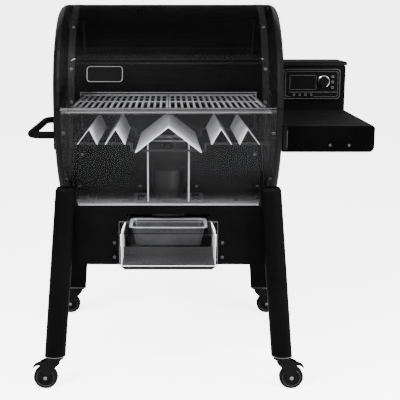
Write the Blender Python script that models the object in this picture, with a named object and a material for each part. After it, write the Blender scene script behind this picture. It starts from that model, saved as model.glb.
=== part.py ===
"""Pellet smoker grill on a wheeled cart: one closed solid for each separate piece, in metres.

+Z is up, -Y is the front. Pieces are laid out about the middle of the barrel, then moved as a whole
so that the origin is on the floor under the middle of the whole grill.
"""

import math

import bmesh
import bpy
from mathutils import Matrix, Vector

# Whole grill
PLAN_CENTRE = Vector((0.10575, 0.06925, 0.0))
GAP = 0.0003
SHEET = 0.0015

# Barrel: lid above, cookbox below
BARREL_Y = -0.005
BARREL_Z = 0.890
HALF_DEPTH = 0.295
HALF_RISE = 0.300
HALF_DROP = 0.360
SKIN_X = 0.3247
CAP_X = 0.3250
CAP_FACE_X = 0.348
CAP_ROUND = 0.025
SPLIT_Z = 0.880
SPLIT_GAP = 0.003
SEAM_DEG = 253.0

# Lid
HINGE_Y = 0.2765
HINGE_Z = 1.005
HINGE_R = 0.004
KNUCKLE_R = 0.008
LID_EYE_X = 0.200
COOKBOX_EYE_X = 0.2365
HANDLE_R = 0.012
HANDLE_Y = -0.335
HANDLE_HALF = 0.318
BADGE_X = (-0.245, -0.134)
BADGE_Z = (0.959, 1.008)
RACK_X = 0.300
RACK_Y = (-0.070, 0.236)
RACK_Z = 1.0185
RACK_BARS = 37

# Inside the cookbox
GRATE_TOP = 0.873
GRATE_THICK = 0.010
GRATE_X = 0.3045
GRATE_Y = (-0.195, 0.262)
GRATE_BARS = 16
FENCE_Z = (0.8735, 0.8815)
BAR_X = (-0.248, -0.165, 0.165, 0.248)
BAR_HALF = 0.032
BAR_APEX = 0.810
BAR_TIP = 0.757
BAR_Y = (-0.195, 0.250)
BAR_LEAN = (-0.0085, -0.0035, 0.0035, 0.0085)
BAFFLE_HALF = 0.105
BAFFLE_APEX = 0.816
BAFFLE_TIP = 0.735
BAFFLE_Y = (-0.205, 0.234)
COLUMN_HALF = 0.070
COLUMN_TOP = 0.754
FLANGE_Z = 0.547
FLANGE_HALF = 0.118
POT_R = 0.055
POT_TOP = 0.650

# Pellet feed
AUGER_TUBE_R = 0.026
AUGER_OUTLET = Vector((0.0, 0.070, 0.7200))
AUGER_SLOPE = 0.292
AUGER_SCREW_R = 0.0215
AUGER_TURNS = 8

# Hopper
HOPPER_X = (-0.085, 0.646)
HOPPER_Y = (0.2925, 0.473)
HOPPER_TOP = 0.976
HOPPER_FLOOR = 0.745
CHUTE_Z = 0.600
CHUTE_BACK = 0.420
HOPPER_LID_TOP = 0.991
HOPPER_LID_HINGE = Vector((0.280, 0.4775, 0.9835))

# Controls
CONTROL_X = (0.416, 0.626)
CONTROL_Z = (0.856, 0.967)
CONTROL_Y = 0.280
SCREEN_X = (0.441, 0.538)
SCREEN_Z = (0.891, 0.944)
KNOB_X = 0.5645
KNOB_Z = 0.921
KNOB_R = 0.022
BUTTON_X = 0.597
BUTTON_Z = (0.938, 0.9185, 0.899)
BUTTON_R = 0.0048
PORT_X = (0.458, 0.4787, 0.4993, 0.520)
PORT_Z = 0.873

# Side table
TABLE_X = (0.360, 0.650)
TABLE_Y = (-0.180, 0.2915)
TABLE_TOP = 0.817
TABLE_SKIRT = 0.733

# Cart
LEG_WIDTH = 0.065
LEG_DEPTH = 0.040
LEG_FOOT_X = 0.358
LEG_HEAD_X = 0.3155
LEG_FOOT_Z = 0.105
LEG_HEAD_Z = 0.640
LEG_FRONT = (-0.323, -0.272)
LEG_REAR = (0.390, 0.339)
PANEL_FRONT_Y = -0.2515
PANEL_REAR_Y = 0.3165
PANEL_HALF = 0.330
PANEL_FOOT = 0.385
PANEL_FRONT_TOP = 0.575
PANEL_REAR_TOP = 0.594
SIDE_PANEL_X = 0.2975
CART_HANDLE_X = -0.429
CART_HANDLE_Y = (-0.235, 0.170)
CART_HANDLE_Z = 0.795
CART_HANDLE_R = 0.0115

# Drawer
DRAWER_HALF = 0.1485
DRAWER_Y = (-0.270, 0.300)
DRAWER_FLOOR = 0.3865
DRAWER_SIDE_TOP = 0.476
DRAWER_REAR_WALL = 0.425
DRAWER_FACE_HALF = 0.1545
DRAWER_FACE_Z = (0.374, 0.530)
PAN_HALF = (0.1285, 0.070)
PAN_Y = -0.080
PAN_Z = (0.415, 0.480)

# Casters
WHEEL_R = 0.038
WHEEL_WIDTH = 0.022
TRAIL = 0.030
AXLE_R = 0.004
CHEEK_Y = 0.0135
STEM_R = 0.006
CASTER_TOP = 0.1045

FINISHES = {
    "black_enamel": ((0.012, 0.012, 0.013), 0.0, 0.38),
    "black_powder_coat": ((0.016, 0.016, 0.017), 0.0, 0.55),
    "grey_sheet_steel": ((0.30, 0.30, 0.31), 1.0, 0.45),
    "stainless_bars": ((0.62, 0.62, 0.63), 1.0, 0.28),
    "dark_steel": ((0.10, 0.10, 0.11), 1.0, 0.50),
    "aluminium_foil_tray": ((0.75, 0.75, 0.76), 1.0, 0.35),
    "black_plastic": ((0.020, 0.020, 0.022), 0.0, 0.50),
    "screen_glass": ((0.03, 0.035, 0.04), 0.0, 0.10),
    "chrome": ((0.80, 0.80, 0.81), 1.0, 0.10),
    "black_rubber": ((0.015, 0.015, 0.015), 0.0, 0.80),
}


def clear_scene():
    for obj in list(bpy.data.objects):
        bpy.data.objects.remove(obj, do_unlink=True)


def finish_material(finish):
    colour, metallic, roughness = FINISHES[finish]
    material = bpy.data.materials.get(finish) or bpy.data.materials.new(finish)
    material.use_nodes = True
    shader = material.node_tree.nodes["Principled BSDF"]
    shader.inputs["Base Color"].default_value = (*colour, 1.0)
    shader.inputs["Metallic"].default_value = metallic
    shader.inputs["Roughness"].default_value = roughness
    material.diffuse_color = (*colour, 1.0)
    return material


def add_object(name, bm, finish, pivot=(0.0, 0.0, 0.0), smooth_deg=35.0):
    """Turn a bmesh into a named object whose origin is at the pivot."""
    pivot = Vector(pivot)
    bmesh.ops.translate(bm, verts=bm.verts, vec=-pivot)
    bmesh.ops.recalc_face_normals(bm, faces=bm.faces)
    mesh = bpy.data.meshes.new(name)
    bm.to_mesh(mesh)
    bm.free()
    mesh.shade_smooth()
    mesh.set_sharp_from_angle(angle=math.radians(smooth_deg))
    mesh.materials.append(finish_material(finish))
    obj = bpy.data.objects.new(name, mesh)
    obj.location = pivot - PLAN_CENTRE
    bpy.context.scene.collection.objects.link(obj)
    return obj


# Shape builders: each one gives a closed solid as a bmesh


def loft(rings):
    """Closed solid through rings of equal length, with a flat cap on the first and the last."""
    bm = bmesh.new()
    rows = [[bm.verts.new(point) for point in ring] for ring in rings]
    count = len(rows[0])
    for low, high in zip(rows, rows[1:]):
        for i in range(count):
            j = (i + 1) % count
            bm.faces.new((low[i], low[j], high[j], high[i]))
    bm.faces.new(list(reversed(rows[0])))
    bm.faces.new(rows[-1])
    bmesh.ops.recalc_face_normals(bm, faces=bm.faces)
    return bm


def prism(outline, axis, start, end):
    """Extrude a 2-D outline along X (outline y, z), Y (outline x, z) or Z (outline x, y)."""
    rings = []
    for along in (start, end):
        if axis == "X":
            rings.append([(along, a, b) for a, b in outline])
        elif axis == "Y":
            rings.append([(a, along, b) for a, b in outline])
        else:
            rings.append([(a, b, along) for a, b in outline])
    return loft(rings)


def block(x_range, y_range, z_range):
    (x0, x1), (y0, y1), (z0, z1) = x_range, y_range, z_range
    return prism([(x0, y0), (x1, y0), (x1, y1), (x0, y1)], "Z", z0, z1)


def circle(radius, count, centre=(0.0, 0.0)):
    turn = 2 * math.pi / count
    return [
        (centre[0] + radius * math.cos(i * turn), centre[1] + radius * math.sin(i * turn))
        for i in range(count)
    ]


def rounded_rectangle(x_range, y_range, radius, steps=4):
    """Outline of a rectangle with round corners, anticlockwise."""
    (x0, x1), (y0, y1) = x_range, y_range
    corners = (
        (x1 - radius, y1 - radius, 0),
        (x0 + radius, y1 - radius, 90),
        (x0 + radius, y0 + radius, 180),
        (x1 - radius, y0 + radius, 270),
    )
    points = []
    for cx, cy, first in corners:
        for i in range(steps + 1):
            angle = math.radians(first + 90 * i / steps)
            points.append((cx + radius * math.cos(angle), cy + radius * math.sin(angle)))
    return points


def frame_of(direction):
    """Two unit vectors square to a direction."""
    direction = direction.normalized()
    helper = Vector((1, 0, 0)) if abs(direction.x) < 0.7 else Vector((0, 0, 1))
    side = direction.cross(helper).normalized()
    return side, direction.cross(side).normalized()


def rod(start, end, radius, count=16):
    """Round bar between two points."""
    start, end = Vector(start), Vector(end)
    side, up = frame_of(end - start)
    rings = []
    for middle in (start, end):
        rings.append([middle + side * a + up * b for a, b in circle(radius, count)])
    return loft(rings)


def lathe(profile, centre, direction, count):
    """Solid of revolution from (radius, distance along the direction) pairs, open bore allowed."""
    centre = Vector(centre)
    direction = Vector(direction).normalized()
    side, up = frame_of(direction)
    bm = bmesh.new()
    rows = []
    for radius, along in profile:
        middle = centre + direction * along
        rows.append([bm.verts.new(middle + side * a + up * b) for a, b in circle(radius, count)])
    for low, high in zip(rows, rows[1:] + rows[:1]):
        for i in range(count):
            j = (i + 1) % count
            bm.faces.new((low[i], low[j], high[j], high[i]))
    bmesh.ops.recalc_face_normals(bm, faces=bm.faces)
    return bm


def swept_tube(path, radius, count=12):
    """Round tube along a path of points, with flat ends."""
    path = [Vector(point) for point in path]
    side, up = frame_of(path[1] - path[0])
    rings = []
    for i, middle in enumerate(path):
        before = path[max(i - 1, 0)]
        after = path[min(i + 1, len(path) - 1)]
        ahead = (after - before).normalized()
        side = (side - ahead * side.dot(ahead)).normalized()
        up = ahead.cross(side)
        rings.append([middle + side * a + up * b for a, b in circle(radius, count)])
    return loft(rings)


def rounded_path(corners, radius, steps=5):
    """Replace each inner corner of a path by an arc of the given radius."""
    corners = [Vector(point) for point in corners]
    path = [corners[0]]
    for before, corner, after in zip(corners, corners[1:], corners[2:]):
        back = (before - corner).normalized()
        ahead = (after - corner).normalized()
        for i in range(steps + 1):
            t = i / steps
            arc = back * (radius * (1 - t) ** 2) + ahead * (radius * t**2)
            path.append(corner + arc)
    path.append(corners[-1])
    return path


def lattice(xs, ys, filled, z_range):
    """Flat plate made of the filled cells of a grid, such as a grate."""
    bm = bmesh.new()
    grid = {}

    def corner(i, j, k):
        key = (i, j, k)
        if key not in grid:
            grid[key] = bm.verts.new((xs[i], ys[j], z_range[k]))
        return grid[key]

    cells = {
        (i, j) for i in range(len(xs) - 1) for j in range(len(ys) - 1) if filled(i, j)
    }
    for i, j in cells:
        around = ((i, j), (i + 1, j), (i + 1, j + 1), (i, j + 1))
        bm.faces.new([corner(a, b, 1) for a, b in around])
        bm.faces.new([corner(a, b, 0) for a, b in reversed(around)])
        neighbours = ((i, j - 1), (i + 1, j), (i, j + 1), (i - 1, j))
        for side in range(4):
            if neighbours[side] in cells:
                continue
            a, b = around[side], around[(side + 1) % 4]
            bm.faces.new((corner(*a, 0), corner(*b, 0), corner(*b, 1), corner(*a, 1)))
    bmesh.ops.dissolve_limit(bm, angle_limit=math.radians(0.5), verts=bm.verts, edges=bm.edges)
    bmesh.ops.triangulate(bm, faces=bm.faces)
    return bm


def combine(base, others, operation):
    """Join or cut solids, giving one plain solid."""
    made = []
    for index, bm in enumerate([base, *others]):
        mesh = bpy.data.meshes.new(f"working_{index}")
        bmesh.ops.recalc_face_normals(bm, faces=bm.faces)
        bm.to_mesh(mesh)
        bm.free()
        obj = bpy.data.objects.new(f"working_{index}", mesh)
        bpy.context.scene.collection.objects.link(obj)
        made.append(obj)
    for other in made[1:]:
        modifier = made[0].modifiers.new(other.name, "BOOLEAN")
        modifier.solver = "EXACT"
        modifier.operation = operation
        modifier.object = other
    graph = bpy.context.evaluated_depsgraph_get()
    result = bmesh.new()
    result.from_object(made[0], graph)
    for obj in made:
        mesh = obj.data
        bpy.data.objects.remove(obj, do_unlink=True)
        bpy.data.meshes.remove(mesh)
    bmesh.ops.remove_doubles(result, verts=result.verts, dist=1e-6)
    return result


def union(base, *others):
    return combine(base, others, "UNION")


def cut(base, *others):
    return combine(base, others, "DIFFERENCE")


def slice_off(bm, point, normal):
    """Remove what lies on the normal's side of a plane and close the cut."""
    geometry = bm.verts[:] + bm.edges[:] + bm.faces[:]
    sliced = bmesh.ops.bisect_plane(
        bm, geom=geometry, dist=1e-7, plane_co=point, plane_no=normal, clear_outer=True
    )
    rim = [item for item in sliced["geom_cut"] if isinstance(item, bmesh.types.BMEdge)]
    bmesh.ops.triangle_fill(bm, use_beauty=True, edges=rim, normal=normal)
    bmesh.ops.recalc_face_normals(bm, faces=bm.faces)
    return bm


# Barrel


def barrel_point(angle, inset):
    """Point (y, z) of the barrel's wall at an angle from the rear, moved inwards by the inset."""
    rise = HALF_RISE if math.sin(angle) >= 0 else HALF_DROP
    y = BARREL_Y + (HALF_DEPTH - inset) * math.cos(angle)
    z = BARREL_Z + (rise - inset) * math.sin(angle)
    return y, z


def angle_at_height(z, front):
    """Barrel angle of the wall at a height."""
    rise = HALF_RISE if z >= BARREL_Z else HALF_DROP
    angle = math.asin((z - BARREL_Z) / rise)
    return math.pi - angle if front else angle


def barrel_skin(start, end, steps):
    """Curved sheet between two barrel angles, as long as the barrel."""
    angles = [start + (end - start) * i / steps for i in range(steps + 1)]
    outline = [barrel_point(angle, 0.0) for angle in angles]
    outline += [barrel_point(angle, SHEET) for angle in reversed(angles)]
    bm = bmesh.new()
    left = [bm.verts.new((-SKIN_X, y, z)) for y, z in outline]
    right = [bm.verts.new((SKIN_X, y, z)) for y, z in outline]
    count = len(outline)
    for i in range(count):
        j = (i + 1) % count
        bm.faces.new((left[i], left[j], right[j], right[i]))
    for i in range(steps):
        j = count - 1 - i
        bm.faces.new((left[i], left[i + 1], left[j - 1], left[j]))
        bm.faces.new((right[j], right[j - 1], right[i + 1], right[i]))
    bmesh.ops.recalc_face_normals(bm, faces=bm.faces)
    return bm


def end_cap(side):
    """Whole domed end of the barrel, a shallow pan with a rounded edge."""
    count = 44
    angles = [2 * math.pi * i / count for i in range(count)]
    depth = CAP_FACE_X - CAP_X
    outer = []
    for step in range(5):
        turn = math.radians(90 * step / 4)
        outer.append((CAP_X + depth * math.sin(turn), CAP_ROUND * (1 - math.cos(turn))))
    inner = [(max(x - SHEET, CAP_X), inset + SHEET * 0.7) for x, inset in reversed(outer)]
    inner[-1] = (CAP_X, SHEET)
    rings = []
    for x, inset in list(reversed(outer)) + list(reversed(inner)):
        rings.append([(side * x, *barrel_point(angle, inset)) for angle in angles])
    return loft(rings)


def split_plane():
    """Direction square to the slanting line between lid and cookbox, pointing up."""
    return Vector((0.0, SPLIT_Z - HINGE_Z, HINGE_Y - barrel_point(math.pi, 0.0)[0])).normalized()


def lid_cap(side):
    up = split_plane()
    point = Vector((0.0, HINGE_Y, HINGE_Z)) + up * SPLIT_GAP / 2
    return slice_off(end_cap(side), point, -up)


def cookbox_cap(side):
    up = split_plane()
    point = Vector((0.0, HINGE_Y, HINGE_Z)) - up * SPLIT_GAP / 2
    return slice_off(end_cap(side), point, up)


def knuckle(x_middle, z_side):
    """Hinge eye on the rear of the barrel with a tongue up to the lid or down to the cookbox."""
    half = 0.0175
    eye = rod((x_middle - half, HINGE_Y, HINGE_Z), (x_middle + half, HINGE_Y, HINGE_Z), KNUCKLE_R)
    wall_y, wall_z = barrel_point(angle_at_height(HINGE_Z + z_side * 0.020, False), SHEET / 2)
    outline = [
        (HINGE_Y - 0.002, HINGE_Z + z_side * 0.003),
        (HINGE_Y + 0.004, HINGE_Z + z_side * 0.006),
        (wall_y + 0.0015, wall_z + z_side * 0.004),
        (wall_y, wall_z),
        (wall_y + 0.0005, wall_z - z_side * 0.004),
    ]
    tongue = prism(outline, "X", x_middle - half, x_middle + half)
    return union(eye, tongue)


def hinge_bore():
    return rod((-0.30, HINGE_Y, HINGE_Z), (0.30, HINGE_Y, HINGE_Z), HINGE_R + GAP)


def build_lid():
    pivot = (0.0, HINGE_Y, HINGE_Z)
    front_edge = angle_at_height(SPLIT_Z + SPLIT_GAP / 2, True)
    crown = math.radians(90)
    seam = 0.001 / HALF_DEPTH
    front = barrel_skin(front_edge, crown + seam, 20)
    add_object("lid_front", front, "black_enamel", pivot)
    rear_edge = angle_at_height(HINGE_Z + 0.006, False)
    back = barrel_skin(rear_edge, crown - seam, 14)
    eyes = [knuckle(x, 1) for x in (-LID_EYE_X, LID_EYE_X)]
    back = cut(union(back, *eyes), hinge_bore())
    add_object("lid_back", back, "black_enamel", pivot)
    for side, word in ((-1, "left"), (1, "right")):
        add_object(f"lid_cap_{word}", lid_cap(side), "black_enamel", pivot)
    add_object("lid_handle", lid_handle(), "black_enamel", pivot)
    add_object("badge", badge(), "grey_sheet_steel", pivot)
    add_object("warming_rack", warming_rack(), "stainless_bars", pivot)


def lid_handle():
    """Long front tube on two end brackets."""
    bar = rod((-HANDLE_HALF, HANDLE_Y, SPLIT_Z), (HANDLE_HALF, HANDLE_Y, SPLIT_Z), HANDLE_R, 20)
    wall = barrel_point(math.pi, 0.0)[0] - GAP
    outline = [
        (wall, SPLIT_Z + 0.003),
        (wall, SPLIT_Z + 0.030),
        (HANDLE_Y + 0.004, SPLIT_Z + 0.010),
        (HANDLE_Y - 0.004, SPLIT_Z + 0.002),
        (HANDLE_Y + 0.004, SPLIT_Z - 0.006),
    ]
    brackets = []
    for side in (-1, 1):
        inner, outer = side * 0.292, side * 0.304
        brackets.append(prism(outline, "X", min(inner, outer), max(inner, outer)))
    return union(bar, *brackets)


def badge():
    """Blank plate on the lid's lower left, flat across the curve."""
    half_x = (BADGE_X[1] - BADGE_X[0]) / 2
    low = barrel_point(angle_at_height(BADGE_Z[0], True), 0.0)
    high = barrel_point(angle_at_height(BADGE_Z[1], True), 0.0)
    along = Vector((0.0, high[0] - low[0], high[1] - low[1]))
    half_z = along.length / 2
    out = Vector((0.0, -along.z, along.y)).normalized()
    along.normalize()
    middle = Vector(((BADGE_X[0] + BADGE_X[1]) / 2, (low[0] + high[0]) / 2, (low[1] + high[1]) / 2))
    rings = []
    for lift, shrink in ((0.0016, 0.0), (0.0034, 0.0), (0.0042, 0.0010)):
        outline = rounded_rectangle(
            (-half_x + shrink, half_x - shrink), (-half_z + shrink, half_z - shrink), 0.011, 5
        )
        rings.append([middle + out * lift + Vector((a, 0, 0)) + along * b for a, b in outline])
    return loft(rings)


def warming_rack():
    """Wire shelf with side rails, hung from the lid's ends by two links."""
    wire = 0.0028
    pitch = 2 * RACK_X / RACK_BARS
    xs = [-RACK_X]
    for i in range(RACK_BARS):
        middle = -RACK_X + pitch * (i + 0.5)
        xs += [middle - wire / 2, middle + wire / 2]
    xs.append(RACK_X)
    xs = [-RACK_X, -RACK_X + 0.005] + xs[3:-3] + [RACK_X - 0.005, RACK_X]
    rail = 0.005
    middle_y = (RACK_Y[0] + RACK_Y[1]) / 2
    ys = [RACK_Y[0], RACK_Y[0] + rail, middle_y, middle_y + rail, RACK_Y[1] - rail, RACK_Y[1]]
    shelf = lattice(xs, ys, lambda i, j: i % 2 == 0 or j % 2 == 0, (RACK_Z - 0.002, RACK_Z + 0.002))
    parts = []
    back, front = RACK_Y[1] - 0.004, RACK_Y[0] + 0.0025
    high, low = RACK_Z + 0.022, RACK_Z - 0.014
    parts.append(rod((-RACK_X, back, high), (RACK_X, back, high), 0.0025, 8))
    parts.append(rod((-RACK_X, front, low), (RACK_X, front, low), 0.0025, 8))
    for side in (-1, 1):
        x = side * (RACK_X - 0.0025)
        parts.append(rod((x, back, RACK_Z), (x, back, high + 0.0015), 0.0022, 8))
        parts.append(rod((x, front, low - 0.0015), (x, front, RACK_Z), 0.0022, 8))
        link = side * 0.290
        parts.append(rod((link, 0.150, RACK_Z), (link, 0.118, 1.136), 0.003, 8))
        parts.append(rod((side * 0.281, 0.150, RACK_Z), (side * 0.2985, 0.150, RACK_Z), 0.003, 8))
        parts.append(rod((side * 0.281, 0.118, 1.136), (side * 0.3225, 0.118, 1.136), 0.0045, 10))
    return union(shelf, *parts)


# Cookbox


def build_cookbox():
    seam = math.radians(SEAM_DEG)
    sliver = 0.001 / HALF_DEPTH
    front_edge = angle_at_height(SPLIT_Z - SPLIT_GAP / 2, True)
    front = barrel_skin(front_edge, seam - sliver, 16)
    add_object("cookbox_front", front, "black_enamel")
    rear_edge = angle_at_height(HINGE_Z - 0.003, False)
    back = barrel_skin(seam + sliver, 2 * math.pi + rear_edge, 30)
    eyes = [knuckle(x, -1) for x in (-COOKBOX_EYE_X, COOKBOX_EYE_X)]
    drop = block((-FLANGE_HALF + 0.010, FLANGE_HALF - 0.010), (-0.072, 0.062), (0.50, 0.60))
    feed = rod(auger_point(0.10), auger_point(0.24), AUGER_TUBE_R + 0.002, 20)
    back = cut(union(back, *eyes), hinge_bore(), drop, feed)
    add_object("cookbox_back", back, "black_enamel")
    for side, word in ((-1, "left"), (1, "right")):
        add_object(f"cookbox_cap_{word}", cookbox_cap(side), "black_enamel")
    pin = rod((-0.262, HINGE_Y, HINGE_Z), (0.262, HINGE_Y, HINGE_Z), HINGE_R, 16)
    add_object("lid_hinge_pin", pin, "dark_steel", (0.0, HINGE_Y, HINGE_Z))


def cooking_grate(side):
    """Bars running front to back between end rails, with one middle rib."""
    inner, outer = 0.0012, GRATE_X
    bar = 0.0065
    pitch = (outer - inner - bar) / (GRATE_BARS - 1)
    xs = []
    for i in range(GRATE_BARS):
        xs += [inner + pitch * i, inner + pitch * i + bar]
    if side < 0:
        xs = [-x for x in reversed(xs)]
    middle = (GRATE_Y[0] + GRATE_Y[1]) / 2
    ys = [GRATE_Y[0], GRATE_Y[0] + 0.010, middle - 0.003, middle + 0.003]
    ys += [GRATE_Y[1] - 0.010, GRATE_Y[1]]
    z_range = (GRATE_TOP - GRATE_THICK, GRATE_TOP)
    return lattice(xs, ys, lambda i, j: i % 2 == 0 or j % 2 == 0, z_range)


def roof(x_middle, half, apex, tip, y_range, slant, rear_share=1.0, lean=0.0):
    """Bent sheet like an upside-down V, its front end cut back towards the tips."""
    thick = 0.0018
    steep = math.hypot(half, apex - tip)
    drop = thick * steep / half
    side_in = thick * steep / (apex - tip)
    outline = [
        (x_middle - half, tip),
        (x_middle, apex),
        (x_middle + half, tip),
        (x_middle + half - side_in, tip),
        (x_middle, apex - drop),
        (x_middle - half + side_in, tip),
    ]
    bm = prism(outline, "Y", y_range[0], y_range[1])
    for vert in bm.verts:
        below = (apex - vert.co.z) / (apex - tip)
        vert.co.x += lean * below
        if vert.co.y < 0:
            vert.co.y += slant * below
        else:
            vert.co.x = x_middle + (vert.co.x - x_middle) * rear_share
            vert.co.z = apex + (vert.co.z - apex) * rear_share
    return bm


def grate_frame():
    """Ledge ring for the grates, a raised rear fence, and two stepped rails under the drip bars."""
    xs = [-0.3215, -0.296, 0.296, 0.3215]
    ys = [-0.208, -0.186, 0.254, 0.272]
    under = GRATE_TOP - GRATE_THICK - GAP
    ring = lattice(xs, ys, lambda i, j: not (i == 1 and j == 1), (under - 0.003, under))
    parts = []
    step = BAR_TIP - GAP
    low = BAFFLE_TIP - GAP
    tall = 0.007
    right = [(0.122, low - tall), (0.122, step - tall), (0.318, step - tall)]
    right += [(0.318, step), (0.115, step), (0.115, low)]
    outline = right + [(-x, z) for x, z in reversed(right)]
    for y in (-0.140, 0.226):
        parts.append(prism(outline, "Y", y, y + 0.003))
        for side in (-1, 1):
            x_range = (0.310, 0.318) if side > 0 else (-0.318, -0.310)
            parts.append(block(x_range, (y, y + 0.003), (step - 0.005, under - 0.001)))
    for side in (-1, 1):
        x = side * 0.3185
        parts.append(rod((x, 0.268, under - 0.001), (x, 0.268, FENCE_Z[-1] + 0.001), 0.0022, 8))
    for z in FENCE_Z:
        parts.append(rod((-0.321, 0.268, z), (0.321, 0.268, z), 0.0019, 8))
    return union(ring, *parts)


def column_back():
    """Three sides of the square fire column on its flange plate, open to the front."""
    half, wall = COLUMN_HALF, COLUMN_HALF - SHEET
    outline = [(-half, -half), (-wall, -half), (-wall, wall), (wall, wall)]
    outline += [(wall, -half), (half, -half), (half, half), (-half, half)]
    channel = prism(outline, "Z", FLANGE_Z + 0.001, COLUMN_TOP)
    xs = [-FLANGE_HALF, -0.106, -0.080, 0.080, 0.106, FLANGE_HALF]
    ys = [-0.080, -0.055, 0.050, 0.072]
    plate = lattice(xs, ys, lambda i, j: not (i in (1, 3) and j == 1), (FLANGE_Z, FLANGE_Z + 0.003))
    xs = [-COLUMN_HALF + 0.0005, -0.052, 0.052, COLUMN_HALF - 0.0005]
    ys = [-COLUMN_HALF + 0.0005, -0.058, 0.030, COLUMN_HALF - 0.0005]
    collar_z = (COLUMN_TOP - 0.003, COLUMN_TOP - 0.001)
    collar = lattice(xs, ys, lambda i, j: not (i == 1 and j == 1), collar_z)
    outlet = rod(auger_point(-0.03), auger_point(0.03), AUGER_TUBE_R - 0.002, 20)
    air = rod((0, 0, FLANGE_Z - 0.01), (0, 0, FLANGE_Z + 0.01), 0.026, 20)
    return cut(union(channel, plate, collar), outlet, air)


def burn_pot():
    """Round cup for the fire, with six air holes in its floor."""
    base = FLANGE_Z + 0.003 + GAP
    rings = []
    for radius, z in (
        (POT_R - 0.012, base),
        (POT_R, base + 0.040),
        (POT_R, POT_TOP),
        (POT_R - 0.003, POT_TOP),
        (POT_R - 0.003, base + 0.041),
        (POT_R - 0.015, base + 0.004),
    ):
        rings.append([(x, y, z) for x, y in circle(radius, 28)])
    holes = [rod((x, y, base - 0.01), (x, y, base + 0.01), 0.0042, 8) for x, y in circle(0.017, 6)]
    return cut(loft(rings), *holes)


def build_inside():
    for side, word in ((-1, "left"), (1, "right")):
        add_object(f"grate_{word}", cooking_grate(side), "stainless_bars")
    for number, x in enumerate(BAR_X, 1):
        bar = roof(x, BAR_HALF, BAR_APEX, BAR_TIP, BAR_Y, 0.018, lean=BAR_LEAN[number - 1])
        add_object(f"drip_bar_{number}", bar, "stainless_bars")
    baffle = roof(0.0, BAFFLE_HALF, BAFFLE_APEX, BAFFLE_TIP, BAFFLE_Y, 0.0, 0.93)
    add_object("heat_baffle", baffle, "stainless_bars")
    add_object("grate_frame", grate_frame(), "grey_sheet_steel")
    add_object("fire_column", column_back(), "grey_sheet_steel")
    front_y = -COLUMN_HALF - GAP
    front = block(
        (-COLUMN_HALF, COLUMN_HALF),
        (front_y - SHEET, front_y),
        (FLANGE_Z + 0.003 + GAP, COLUMN_TOP),
    )
    add_object("fire_column_front", front, "grey_sheet_steel")
    add_object("burn_pot", burn_pot(), "dark_steel")


# Pellet feed


def auger_point(along):
    """Point on the auger's axis, at a distance behind the column's rear wall."""
    slope = math.atan(AUGER_SLOPE)
    return AUGER_OUTLET + Vector((0.0, math.cos(slope), -math.sin(slope))) * along


def auger_direction():
    return (auger_point(1.0) - auger_point(0.0)).normalized()


def auger_tube():
    """Feed tube from the column's rear wall to the hopper chute, cut upright at both ends."""
    bore = AUGER_SCREW_R + 0.0015
    profile = [(bore, -0.05), (AUGER_TUBE_R, -0.05), (AUGER_TUBE_R, 0.30), (bore, 0.30)]
    bm = lathe(profile, auger_point(0.0), auger_direction(), 24)
    bm = slice_off(bm, Vector((0, COLUMN_HALF + 0.0005, 0)), Vector((0, -1, 0)))
    return slice_off(bm, Vector((0, HOPPER_Y[0] - 0.0005, 0)), Vector((0, 1, 0)))


def auger_screw():
    """Shaft with a thick helical blade."""
    start, end = 0.012, 0.345
    shaft_r = 0.0070
    steps_per_turn = 10
    side, up = frame_of(auger_direction())
    shaft = rod(auger_point(start - 0.004), auger_point(end + 0.028), shaft_r, 12)
    count = AUGER_TURNS * steps_per_turn
    length = end - start
    rings = []
    for i in range(count + 1):
        angle = 2 * math.pi * i / steps_per_turn
        out = side * math.cos(angle) + up * math.sin(angle)
        middle = auger_point(start + 0.004 + (length - 0.008) * i / count)
        axis = auger_direction()
        inner = middle + out * (shaft_r - 0.002)
        outer = middle + out * AUGER_SCREW_R
        half_root, half_tip = axis * 0.0025, axis * 0.0015
        rings.append([inner - half_root, outer - half_tip, outer + half_tip, inner + half_root])
    return union(shaft, loft(rings))


def auger_motor():
    """Gear motor behind the chute, square to the auger's axis."""
    axis = auger_direction()
    turn = axis.to_track_quat("Z", "X").to_matrix().to_4x4()
    body = prism(rounded_rectangle((-0.030, 0.030), (-0.036, 0.036), 0.005, 3), "Z", 0.382, 0.404)
    can = rod((0.0, 0.008, 0.400), (0.0, 0.008, 0.4245), 0.024, 20)
    bore = rod((0.0, 0.0, 0.36), (0.0, 0.0, 0.394), 0.0075, 12)
    bm = cut(union(body, can), bore)
    bmesh.ops.transform(bm, verts=bm.verts, matrix=Matrix.Translation(AUGER_OUTLET) @ turn)
    return bm


def blower():
    """Flat fan housing under the fire column, with an air inlet below and an outlet on top."""
    housing = prism(rounded_rectangle((-0.055, 0.055), (-0.042, 0.068), 0.020, 4), "Z", 0.4935, 0.5265)
    hollow = prism(rounded_rectangle((-0.053, 0.053), (-0.040, 0.066), 0.018, 4), "Z", 0.4955, 0.5245)
    neck = rod((0, 0, 0.524), (0, 0, FLANGE_Z - GAP), 0.030, 20)
    duct = rod((0, 0, 0.520), (0, 0, 0.560), 0.028, 20)
    intake = rod((0, 0.012, 0.480), (0, 0.012, 0.500), 0.024, 20)
    return cut(union(housing, neck), hollow, duct, intake)


def build_feed():
    add_object("auger_tube", auger_tube(), "grey_sheet_steel")
    add_object("auger_screw", auger_screw(), "dark_steel", auger_point(0.17))
    add_object("auger_motor", auger_motor(), "dark_steel")
    add_object("blower", blower(), "dark_steel")


# Hopper and controls


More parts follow.
